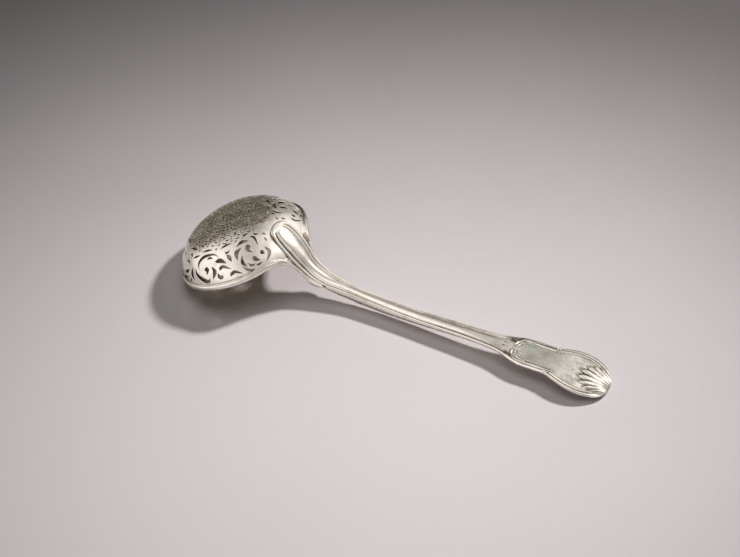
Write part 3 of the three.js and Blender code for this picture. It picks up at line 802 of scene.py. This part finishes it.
def relief(line, run, across):
    """Height over the handle's edge, hollows and panel: the panel's crown, the threads by distance
    from the outline, the volutes and the shell."""
    xs, halves, _, runs, _ = line
    along = np.interp(run, runs, xs)
    half = np.interp(run, runs, halves)
    outline = np.stack([runs, halves], 1)
    outline[0, 1] = outline[-1, 1] = 0.0
    inset = nearest(np.stack([run.ravel(), across.ravel()], 1), outline[::2]).reshape(across.shape)
    inset = np.where(across > half - 1e-6, 0.0, inset)
    started = smooth(*THREADS_BEGIN, run) * smooth(*THREADS_END, along)
    double = smooth(*PAIR_ENDS, along) + smooth(*PAIR_AGAIN, along)
    border = np.interp(along, *BORDER) * np.clip(smooth(0.0, 1.0, half / 3.0), 0.3, 1)
    share = inset / border
    single = np.sin(np.pi * np.clip(inset / ONE_THREAD, 0, 1)) ** 1.1 * (1 - double)
    threads = size("thread_rise") * (bead_pair(share) * double + single) * started
    soft = np.sqrt(np.clip(1 - (1 - np.clip(inset / 1.2, 0, 1)) ** 2, 0, 1))
    soft_edge = 0.35 * soft * (1 - started)
    start = border * started
    into = np.clip((inset - start) / np.maximum(half - start, 0.5), 0, 1)
    lift = np.interp(along, *LIFT)
    height = (np.interp(along, *CROWN) - lift) * (1 - (1 - into) ** 2) + threads + soft_edge
    height += lift * (1 - (1 - np.clip(inset / np.maximum(half, 0.5), 0, 1)) ** 2)
    hollow_and_shade = grooves(share, border, along) * double * started
    hollow_and_shade += np.exp(-((inset - 1.4) / 0.28) ** 2) * (1 - double) * started
    ornament = np.zeros_like(height)
    for path, wide, rise in VOLUTES:
        hump, apart = ridge(along, across, path, SKIRT * wide)
        ornament = np.maximum(ornament, hump * rise)
        ditch = np.where(apart < 3 * wide, np.exp(-((apart / wide - SKIRT) / 0.3) ** 2), 0)
        hollow_and_shade = np.maximum(hollow_and_shade * (1 - hump), ditch)
    lobes, gaps, cover = shell(along, across, size("shell_rise"))
    height += np.maximum(ornament, lobes) * smooth(0.0, 0.6, inset)
    dip = between(along, *DIP) * between(inset, 1.2, 1.7, 2.6, 3.6)
    height -= 0.25 * dip
    bare = smooth(2.2, 3.2, inset) * (1 - cover)
    brown = 0.22 * smooth(186.0, 196.0, along) * bare
    hollow_and_shade = np.clip(np.maximum(hollow_and_shade, gaps) + dip + brown, 0, 1)
    return height, hollow_and_shade, between(along, *PANEL) * bare


def out_to_wall(points, depth):
    """Points deeper than a depth below the bowl's outside moved out to that depth, along the normal
    at the nearest of a grid of places on the dome."""
    down, about = np.linspace(20, 90, 141), np.linspace(-22, 22, 89)
    angle, turn = np.meshgrid(np.radians(down), np.radians(about))
    skin, normal = dome(angle, turn).reshape(-1, 3), dome_normal(angle, turn).reshape(-1, 3)
    spots = points.reshape(-1, 3)
    near = np.argmin(np.sum(skin**2, 1) - 2 * spots @ skin.T, axis=1)
    above = np.sum((spots - skin[near]) * normal[near], 1)
    return (spots + normal[near] * np.clip(-depth - above, 0, None)[:, None]).reshape(points.shape)


def relief_slopes(line, run, across):
    """Slopes of the relief across and along, over small steps that stay on the handle."""
    edge = line[1][:, None]
    e = SLOPE_STEP
    lo, hi = np.abs(across - e), np.minimum(across + e, edge)
    rise = relief(line, run, hi)[0] - relief(line, run, lo)[0]
    by = rise / np.maximum(hi - (across - e), 1e-6)
    inner = np.minimum(across, 0.999 * edge)
    bs = (relief(line, run + e, inner)[0] - relief(line, run - e, inner)[0]) / (2 * e)
    by[:, -1], bs[:, -1] = -2.0, 0.0
    return by, bs


def whole_section(right, top, sign=1.0):
    """The far half of back and side, the top from far to near, and the near half of side and back,
    which mirrors the far one with a sign."""
    left = sign * right[:, ::-1][:, :-1]
    return np.concatenate([right, top[:, ::-1], sign * top[:, 1:], left], 1)


def handle_tarnish_and_shade(x, y, edge, hollow_and_shade, bare):
    """Tarnish and painted shade over the sections: tarnish in the top's hollows and painted shade
    on the sides, both less on the far side of the stem, the shade in the step at the tongue's end
    and by the heel where it sits on the bowl; and painted shade in bands near the far edge."""
    # Painted shade on the sides: in the step where the tongue ends, and by the heel where it sits
    # on the bowl.
    low = np.exp(-((x - TONGUE_STEP_SHADE) / 0.75) ** 4) + 0.85 * smooth(68.0, 60.0, x)
    stain_and_shade = whole_section(low[:, None] + bare, hollow_and_shade)
    # Tarnish and painted shade both made less on the far side of the stem.
    stain_and_shade *= np.where((y > 0) & (x[:, None] < 160.0), 0.6, 1.0)
    waist, lip, stem = (between(x, *stretch)[:, None] for stretch in (WAIST, LIP, STEM))
    # Painted shade in bands toward the far edge: by the waist, along the lip, and over the far half
    # of the stem's top.
    stain_and_shade += 0.45 * waist * smooth(edge - 2.6, edge - 1.2, y)
    stain_and_shade += 0.75 * lip * smooth(edge - 1.1, edge - 0.7, y)
    stain_and_shade += 0.18 * stem * smooth(-0.2, 1.0, y) * smooth(edge - 0.9, edge - 1.5, y)
    return np.clip(stain_and_shade, 0, 1)


def handle_forging():
    """Sections across the handle at stations along its edge, each a relief on top, two sides and a
    flat back that is let into the bowl's wall; with tarnish and painted shade, panel, and the top's
    normals from the relief's slopes."""
    line = handle_line()
    x, half, z, run, slope = line
    edge = half[:, None]
    tilt = np.stack([-slope, np.ones_like(slope)], 1) / np.hypot(slope, 1)[:, None]
    across = edge * (1 - (1 - np.linspace(0, 1, TOP_POINTS)) ** TOP_CROWD)
    away = np.broadcast_to(run[:, None], across.shape)
    height, hollow_and_shade, panel = relief(line, away, across)
    by, bs = relief_slopes(line, away, across)
    side = np.interp(x, *SIDE_DEPTH) * tilt[:, 1]
    seat = (0.75 * smooth(58.0, 54.0, x))[:, None]
    tuck = np.minimum(np.minimum(0.28 * side, 0.9), 0.5 * half)[:, None]
    low_y = edge - tuck * np.clip((SIDE_SHARES - 0.4) / 0.6, 0, 1) ** 2
    low_h = -side[:, None] * SIDE_SHARES - seat * SIDE_SHARES
    right_y = np.concatenate([low_y, low_y[:, -1:] * BACK_SHARES], 1)[:, ::-1]
    right_h = np.concatenate([low_h, -side[:, None] - seat * BACK_SHARES**2], 1)[:, ::-1]
    y, h = whole_section(right_y, across, -1.0), whole_section(right_h, height)
    up = np.maximum(z[:, None] + h * tilt[:, 1:], 0.0)
    points = np.stack([x[:, None] + h * tilt[:, :1], y, up], 2)
    low, backs = right_y.shape[1], BACK_SHARES.shape[1]
    far, near = np.s_[:low], np.s_[y.shape[1] - low + 1:]
    on_bowl = x < HEEL_CLEAR
    for below in (far, near):
        points[on_bowl, below] = out_to_wall(points[on_bowl, below], HEEL_SUNK)
    bare = np.zeros((len(x), low))
    by, bs = whole_section(bare, by, -1.0), whole_section(bare, bs)
    normal = np.stack([tilt[:, :1] - bs * tilt[:, 1:], -by, tilt[:, 1:] + bs * tilt[:, :1]], 2)
    normal = unit(normal)
    normal[:, far] = normal[:, near] = 0.0
    turn = np.radians(np.interp(SIDE_SHARES[0], [0, 0.3, 1], [25, 8, -45]))[::-1]
    outward = np.broadcast_to(np.cos(turn), (len(x), len(turn)))
    rounded = np.stack([tilt[:, :1] * np.sin(turn), outward, tilt[:, 1:] * np.sin(turn)], 2)
    normal[:, backs:low] = rounded
    normal[:, near][:, :1 - backs] = rounded[:, ::-1] * MIRROR
    stain_and_shade = handle_tarnish_and_shade(x, y, edge, hollow_and_shade, bare)
    return points, stain_and_shade, whole_section(bare, panel), normal


def new_group(name, sockets):
    """A shader node group with named sockets: (in or out, kind, name, default)."""
    group = bpy.data.node_groups.new(name, "ShaderNodeTree")
    for way, kind, label, default in sockets:
        socket = group.interface.new_socket(name=label, in_out=way, socket_type="NodeSocket" + kind)
        if default is not None:
            socket.default_value = default
    given, result = (group.nodes.new("NodeGroup" + end) for end in ("Input", "Output"))
    return group, given.outputs, result.inputs


def put(tree, kind, inputs=None, **settings):
    """A node with its properties or named inputs set; further inputs, by name or number, are linked
    to sockets or set to values."""
    node = tree.nodes.new("ShaderNode" + kind)
    for key, value in settings.items():
        if hasattr(node, key):
            setattr(node, key, value)
        else:
            node.inputs[key].default_value = value
    for key, value in (inputs or {}).items():
        if isinstance(value, bpy.types.NodeSocket):
            tree.links.new(value, node.inputs[key])
        else:
            node.inputs[key].default_value = value
    return node


def math(tree, operation, a, b, clamp=False):
    """A maths node over sockets or numbers."""
    return put(tree, "Math", {0: a, 1: b}, operation=operation, use_clamp=clamp).outputs[0]


def mix_colour(tree, factor, a, b):
    """A colour mix over sockets or colours."""
    return put(tree, "Mix", {0: factor, 6: a, 7: b}, data_type="RGBA").outputs[2]


def noise(tree, place, scale, detail=3.0, rough=0.55):
    """Noise over a place socket."""
    node = put(tree, "TexNoise", {"Vector": place}, Scale=scale, Detail=detail, Roughness=rough)
    return node.outputs["Fac"]


def ramp(tree, value, low, high):
    """A smooth step of a value socket between two numbers."""
    node = put(tree, "MapRange", {0: value, 1: low, 2: high}, interpolation_type="SMOOTHSTEP")
    return node.outputs[0]


def tarnish_group():
    """Brown where the hollows' tarnish and the painted shade are marked, broken up by noise, and a
    thin haze elsewhere.
    """
    group, given, result = new_group("tarnish_and_painted_shade", [
        ("INPUT", "Float", "Hollow_and_shade", 0.0), ("INPUT", "Float", "Haze", 0.1),
        ("INPUT", "Color", "Silver", (1, 1, 1, 1)), ("INPUT", "Color", "Tarnish", (0, 0, 0, 1)),
        ("OUTPUT", "Color", "Color", None), ("OUTPUT", "Float", "Mask", None)])
    place = put(group, "TexCoord").outputs["Object"]
    broken = noise(group, place, 900.0, 4.0)
    cloud = noise(group, place, 120.0, 5.0)
    uneven = math(group, "ADD", math(group, "MULTIPLY", broken, 0.9), 0.45)
    deep = math(group, "MULTIPLY", given["Hollow_and_shade"], uneven)
    haze = math(group, "MULTIPLY", ramp(group, cloud, 0.46, 0.72), given["Haze"])
    mask = math(group, "ADD", deep, haze, True)
    group.links.new(mix_colour(group, mask, given["Silver"], given["Tarnish"]), result["Color"])
    group.links.new(mask, result["Mask"])
    return group


def wear_group():
    """Roughness and height of handled metal: clouds of dulling, hairline scratches two ways and
    small dents."""
    group, given, result = new_group("handled_metal", [
        ("INPUT", "Float", "Polish", 0.25), ("INPUT", "Float", "Dulling", 0.15),
        ("OUTPUT", "Float", "Roughness", None), ("OUTPUT", "Float", "Height", None)])
    place = put(group, "TexCoord").outputs["Object"]
    along = put(group, "Mapping", {"Vector": place},
                Rotation=(0.0, 0.0, 0.5), Scale=(260.0, 5200.0, 5200.0))
    skew = put(group, "Mapping", {"Vector": place},
               Rotation=(0.0, 0.4, -0.9), Scale=(320.0, 6000.0, 6000.0))
    hair = math(group, "ADD", ramp(group, noise(group, along.outputs[0], 1.0, 2.0), 0.66, 0.74),
                ramp(group, noise(group, skew.outputs[0], 1.0, 2.0), 0.68, 0.76), True)
    cloud = ramp(group, noise(group, place, 210.0, 5.0), 0.35, 0.72)
    dull = math(group, "MULTIPLY", cloud, given["Dulling"])
    dulled = math(group, "ADD", given["Polish"], dull)
    rough = math(group, "ADD", dulled, math(group, "MULTIPLY", hair, 0.12), True)
    dents = math(group, "MULTIPLY", noise(group, place, 260.0, 2.0), 0.5)
    height = math(group, "ADD", dents, math(group, "MULTIPLY", hair, -0.15))
    group.links.new(rough, result["Roughness"])
    group.links.new(height, result["Height"])
    return group


def patina_group():
    """A tint in patches over a painted area, evened by an amount, with cleaner worn spots."""
    group, given, result = new_group("patina_patches", [
        ("INPUT", "Float", "Area", 0.0), ("INPUT", "Color", "Clean", (1, 1, 1, 1)),
        ("INPUT", "Color", "Patina", (0.5, 0.5, 0.5, 1)), ("INPUT", "Float", "Even", 0.0),
        ("OUTPUT", "Color", "Color", None), ("OUTPUT", "Float", "Mask", None)])
    place = put(group, "TexCoord").outputs["Object"]
    cloud = ramp(group, noise(group, place, 170.0, 5.0, 0.62), 0.34, 0.62)
    patch = math(group, "ADD", cloud, given["Even"], True)
    fleck = ramp(group, noise(group, place, 620.0, 3.0), 0.52, 0.68)
    left = math(group, "SUBTRACT", patch, math(group, "MULTIPLY", fleck, 0.8), True)
    worn = math(group, "MULTIPLY", left, given["Area"])
    group.links.new(mix_colour(group, worn, given["Clean"], given["Patina"]), result["Color"])
    group.links.new(worn, result["Mask"])
    return group


def new_material(name):
    """A material with nodes, its tree and its shader's inputs."""
    material = bpy.data.materials.new(name)
    material.use_nodes = True
    tree = material.node_tree
    return material, tree, tree.nodes["Principled BSDF"].inputs


# Depth of the finest dents and scratches, in metres.
BUMP_DEEP = 0.00008
# Worn brown of the crown's field, and the dark of a sawn edge: its tarnish, made darker still as
# painted shade so that the slits look dark.
FIELD_TINT = (0.37, 0.335, 0.25, 1.0)
SAWN_EDGE_AND_SHADE = (0.05, 0.04, 0.026, 1.0)


def silver_material(name, colour, haze, polish, dulling, bump,
                    hollow_and_shade=None, area=None, tint=None, even=0.0):
    """Silver with tarnish in the hollows and painted shade where marked, patina over an area,
    scratches and small dents.
    """
    finish = bpy.context.scene.sifter_finish
    _, tree, shader = new_material(name)
    shader["Metallic"].default_value = 1.0

    def painted(attribute):
        return put(tree, "Attribute", attribute_name=attribute).outputs["Fac"]

    def use_group(group, **inputs):
        return put(tree, "Group", inputs, node_tree=bpy.data.node_groups[group]).outputs

    worn = use_group("handled_metal", Polish=polish, Dulling=dulling)
    rough = worn["Roughness"]
    tarnish_and_shade_inputs = {"Silver": colour, "Tarnish": finish.tarnish, "Haze": haze}
    if area:
        bloom = use_group("patina_patches", Area=painted(area), Clean=colour,
                          Patina=tint or finish.patina, Even=even)
        tarnish_and_shade_inputs["Silver"] = bloom["Color"]
        rough = math(tree, "ADD", rough, math(tree, "MULTIPLY", bloom["Mask"], 0.2), True)
    if hollow_and_shade:
        tarnish_and_shade_inputs["Hollow_and_shade"] = painted(hollow_and_shade)
    stain_and_shade = use_group("tarnish_and_painted_shade", **tarnish_and_shade_inputs)
    bumps = put(tree, "Bump", {"Height": worn["Height"]}, Strength=bump, Distance=BUMP_DEEP)
    tree.links.new(stain_and_shade["Color"], shader["Base Color"])
    tree.links.new(rough, shader["Roughness"])
    tree.links.new(bumps.outputs[0], shader["Normal"])


class SIFTER_OT_finishes(bpy.types.Operator):
    """Makes the shared finishes"""

    bl_idname = "sifter.finishes"
    bl_label = "Silver finishes"

    def execute(self, context):
        finish = context.scene.sifter_finish
        tarnish_group()
        wear_group()
        patina_group()
        silver = tuple(finish.silver)
        silver_material("finish_bowl", silver, haze=0.28, polish=finish.polish + 0.04, dulling=0.16,
                        bump=0.35, area="field", tint=FIELD_TINT, even=0.55)
        # Slit walls: tarnish, darkened further as painted shade.
        silver_material("finish_sawn", SAWN_EDGE_AND_SHADE, haze=0.3, polish=0.45, dulling=0.2, bump=0.3)
        silver_material("finish_rim", silver, haze=0.2, polish=finish.polish - 0.02, dulling=0.14,
                        bump=0.3, hollow_and_shade="hollow_and_shade")
        silver_material("finish_handle", silver, haze=0.22, polish=finish.polish, dulling=0.16,
                        bump=0.35, hollow_and_shade="hollow_and_shade", area="panel")
        silver_material("finish_gilt", tuple(finish.gilt), haze=0.25, polish=0.3, dulling=0.15,
                        bump=0.35)
        return {"FINISHED"}


class SIFTER_OT_bowl(bpy.types.Operator):
    """Builds the pierced bowl"""

    bl_idname = "sifter.bowl"
    bl_label = "Pierced bowl"

    def execute(self, context):
        points, faces, counts, corner, field = pierced_sheet()
        piece = add_piece("bowl_pierced", points, faces, ["bowl", "gilt", "sawn"],
                          "bowl")
        kinds = np.repeat([0, 1, 0, 2], counts).astype(np.int32)
        piece.data.polygons.foreach_set("material_index", kinds)
        piece.data.normals_split_custom_set(corner.tolist())
        paint(piece, "field", field)
        return {"FINISHED"}


class SIFTER_OT_rim(bpy.types.Operator):
    """Builds the moulded rim wire"""

    bl_idname = "sifter.rim"
    bl_label = "Rim wire"

    def execute(self, context):
        turns = np.linspace(FLARE_TURN, 2 * np.pi - FLARE_TURN, RIM_SECTIONS)
        rings = rim_rings(turns)
        rings[..., 2] = np.maximum(rings[..., 2], 0.0)
        faces = tube_faces(rings)
        piece = add_piece("rim_wire", rings.reshape(-1, 3), faces, ["rim"],
                          "rim_moulding")
        piece.data.set_sharp_from_angle(angle=RIM_SHARP)
        clear = smooth(FLARE_TURN + 0.05, FLARE_TURN + 0.5, np.minimum(turns, 2 * np.pi - turns))
        paint(piece, "hollow_and_shade", clear[:, None] * rim_shade())
        return {"FINISHED"}


class SIFTER_OT_throat(bpy.types.Operator):
    """Builds the tongue under the neck and its two flares"""

    bl_idname = "sifter.throat"
    bl_label = "Throat tongue"

    def execute(self, context):
        points, faces = [], []
        for rings in (flare_rings(1.0), flare_rings(-1.0), throat_plate()):
            start = sum(len(p) for p in points)
            faces += [[start + i for i in f] for f in tube_faces(rings)]
            points.append(rings.reshape(-1, 3))
        piece = add_piece("throat_tongue", np.vstack(points), faces, ["rim"],
                          "throat_strap")
        piece.data.set_sharp_from_angle(angle=RIM_SHARP)
        paint(piece, "hollow_and_shade", np.zeros(len(piece.data.vertices)))
        return {"FINISHED"}


class SIFTER_OT_handle(bpy.types.Operator):
    """Builds the threaded handle with its shell"""

    bl_idname = "sifter.handle"
    bl_label = "Handle"

    def execute(self, context):
        points, hollow_and_shade, panel, normal = handle_forging()
        faces = tube_faces(points)
        piece = add_piece("handle_forging", points.reshape(-1, 3), faces, ["handle"],
                          "handle")
        # Tarnish in the top's hollows, and painted shade by the tongue's end, the heel and the far
        # edge.
        paint(piece, "hollow_and_shade", hollow_and_shade)
        paint(piece, "panel", panel)
        piece.data.set_sharp_from_angle(angle=HANDLE_SHARP)
        quads = np.array(faces[:-2])
        corner = normal.reshape(-1, 3)[quads]
        corner[np.any(np.all(corner == 0.0, axis=2), axis=1)] = 0.0
        ends = np.zeros((sum(len(f) for f in faces[-2:]), 3))
        piece.data.normals_split_custom_set(np.vstack([corner.reshape(-1, 3), ends]).tolist())
        return {"FINISHED"}


# Camera: position and axes found from the photograph, millimetres from the bowl's tip.
CAMERA_SPOT = (423.8, -640.8, 645.7)
CAMERA_RIGHT = (0.8886, 0.4587, 0.0)
CAMERA_UP = (-0.3009, 0.5830, 0.7547)
CAMERA_BACK = (0.3462, -0.6706, 0.6561)
CAMERA_LENS = 101.75
# Lamps: name, direction, width in metres, power in watts and colour; and how far off they stand.
LAMPS = [
    ("key_lamp", (0.43, 1.0, 1.0), 0.11, 9.35, (1.0, 0.97, 0.95)),
    ("overhead_lamp", (0.0, 0.0, 1.0), 0.8, 1.8, (1.0, 0.985, 0.97)),
]
LAMP_DISTANCE = 0.95
# Half the table's width, and the even light on it.
TABLE_HALF = 3.0
TABLE_SKY = 0.11
# Painted pool of light on the table: its middle, turn and half-widths, and where in these the
# painted colour begins and ends to darken.
LIT_MIDDLE = (0.018, -0.123, 0.0)
LIT_TURN = (0.0, 0.0, np.radians(27.3))
LIT_REACH = (0.248, 0.238, 1.0)
LIT_FADE = (0.124, 1.927)
# What the metal mirrors: direction of a patch, cosines where it begins and is full, and its level;
# and the level elsewhere.
STUDIO = [
    ((0.42, 0.68, 0.60), 0.70, 1.0, 1.0),
    ((0.42, 0.35, 0.84), 0.86, 1.0, 0.6),
    ((-0.75, -0.45, 0.5), 0.5, 0.95, 0.8),
    ((0.1, -0.85, 0.5), 0.84, 1.0, 0.6),
    ((-0.75, 0.64, 0.12), 0.55, 1.0, -0.36),
]
STUDIO_LEVEL = 0.48


def add_camera():
    """The camera at the photograph's place."""
    data = bpy.data.cameras.new("camera")
    data.lens = CAMERA_LENS
    data.sensor_width = 36.0
    data.sensor_fit = "HORIZONTAL"
    data.clip_start = 0.05
    camera = bpy.data.objects.new("camera", data)
    axes = Matrix((CAMERA_RIGHT, CAMERA_UP, CAMERA_BACK)).transposed()
    camera.matrix_world = Matrix.Translation(to_frame(CAMERA_SPOT)) @ axes.to_4x4()
    bpy.context.scene.collection.objects.link(camera)
    bpy.context.scene.camera = camera


def add_lamp(name, way, width, power, colour):
    """A soft round lamp that faces the table's middle from a direction, unseen in the metal."""
    data = bpy.data.lights.new(name, "AREA")
    data.shape = "DISK"
    data.size = width
    data.energy = power
    data.color = colour
    lamp = bpy.data.objects.new(name, data)
    away = Vector(way).normalized()
    turn = away.to_track_quat("Z", "Y").to_matrix().to_4x4()
    lamp.matrix_world = Matrix.Translation(away * LAMP_DISTANCE) @ turn
    lamp.visible_glossy = False
    bpy.context.scene.collection.objects.link(lamp)


def table_material():
    """Pale table with a painted pool of light: its colour darkens away from the lit patch, by
    distance from a middle, stretched two ways.
    """
    finish = bpy.context.scene.sifter_finish
    material, tree, shader = new_material("table")
    shader["Roughness"].default_value = 0.85
    shader["Specular IOR Level"].default_value = 0.15
    place = put(tree, "TexCoord").outputs["Object"]
    turned = put(tree, "Mapping", {"Vector": place}, vector_type="TEXTURE",
                 Location=LIT_MIDDLE, Rotation=LIT_TURN, Scale=LIT_REACH)
    length = put(tree, "VectorMath", {0: turned.outputs[0]}, operation="LENGTH").outputs["Value"]
    grain = math(tree, "MULTIPLY", noise(tree, place, 14.0, 3.0), 0.06)
    fade = ramp(tree, math(tree, "ADD", length, grain), *LIT_FADE)
    # Painted light: the colour goes from the table's own to the far one away from the patch.
    colour = mix_colour(tree, fade, tuple(finish.table), tuple(finish.table_far))
    tree.links.new(colour, shader["Base Color"])
    return material


def add_world():
    """Dim even light on the table; in the metal, a studio with a glow behind on the right, a pale
    front and a dark corner behind on the left."""
    world = bpy.data.worlds.new("studio")
    bpy.context.scene.world = world
    world.use_nodes = True
    tree = world.node_tree
    sky = tree.nodes["Background"]
    way = put(tree, "TexCoord").outputs["Generated"]
    room = STUDIO_LEVEL
    for direction, low, high, level in STUDIO:
        toward = put(tree, "VectorMath", {0: way, 1: Vector(direction).normalized()},
                     operation="DOT_PRODUCT")
        patch = ramp(tree, toward.outputs["Value"], low, high)
        room = math(tree, "ADD", math(tree, "MULTIPLY", patch, level), room)
    path = put(tree, "LightPath").outputs
    seen = math(tree, "ADD", path["Is Camera Ray"], path["Is Glossy Ray"])
    seen = math(tree, "ADD", seen, path["Is Transmission Ray"], True)
    strength = put(tree, "Mix", {0: seen, 2: TABLE_SKY, 3: room})
    tree.links.new(strength.outputs[0], sky.inputs["Strength"])
    sky.inputs["Color"].default_value = (1.0, 0.97, 0.94, 1.0)


class SIFTER_OT_stage(bpy.types.Operator):
    """Sets the table, lamps and camera"""

    bl_idname = "sifter.stage"
    bl_label = "Table and light"

    def execute(self, context):
        mesh = bpy.data.meshes.new("table")
        far = TABLE_HALF
        corners = [(-far, -far, 0), (far, -far, 0), (far, far, 0), (-far, far, 0)]
        mesh.from_pydata(corners, [], [(0, 1, 2, 3)])
        table = bpy.data.objects.new("table", mesh)
        context.scene.collection.objects.link(table)
        mesh.materials.append(table_material())
        for lamp in LAMPS:
            add_lamp(*lamp)
        add_world()
        add_camera()
        context.scene.view_settings.view_transform = "Standard"
        return {"FINISHED"}


class SIFTER_PT_panel(bpy.types.Panel):
    """Lists the sifter's pieces, sizes and finish"""

    bl_idname = "SIFTER_PT_panel"
    bl_label = "Sifter"
    bl_space_type = "VIEW_3D"
    bl_region_type = "UI"
    bl_category = "Sifter"

    def draw(self, context):
        for operator in OPERATORS:
            self.layout.operator(operator.bl_idname)
        for group in (context.scene.sifter_sizes, context.scene.sifter_finish):
            for name in group.__annotations__:
                self.layout.prop(group, name)


OPERATORS = (SIFTER_OT_finishes, SIFTER_OT_bowl, SIFTER_OT_rim, SIFTER_OT_throat,
             SIFTER_OT_handle, SIFTER_OT_stage)
CLASSES = (SifterSizes, SifterFinish, *OPERATORS, SIFTER_PT_panel)


def register():
    """Registers the classes and hangs the settings on the scene."""
    for c in CLASSES:
        bpy.utils.register_class(c)
    bpy.types.Scene.sifter_sizes = PointerProperty(type=SifterSizes)
    bpy.types.Scene.sifter_finish = PointerProperty(type=SifterFinish)


def unregister():
    """Takes the settings and classes away."""
    del bpy.types.Scene.sifter_finish
    del bpy.types.Scene.sifter_sizes
    for c in reversed(CLASSES):
        bpy.utils.unregister_class(c)


def main():
    """Builds the spoon and its table."""
    register()
    bpy.ops.sifter.finishes()
    bpy.ops.sifter.bowl()
    bpy.ops.sifter.rim()
    bpy.ops.sifter.throat()
    bpy.ops.sifter.handle()
    bpy.ops.sifter.stage()


if __name__ == "__main__":
    main()
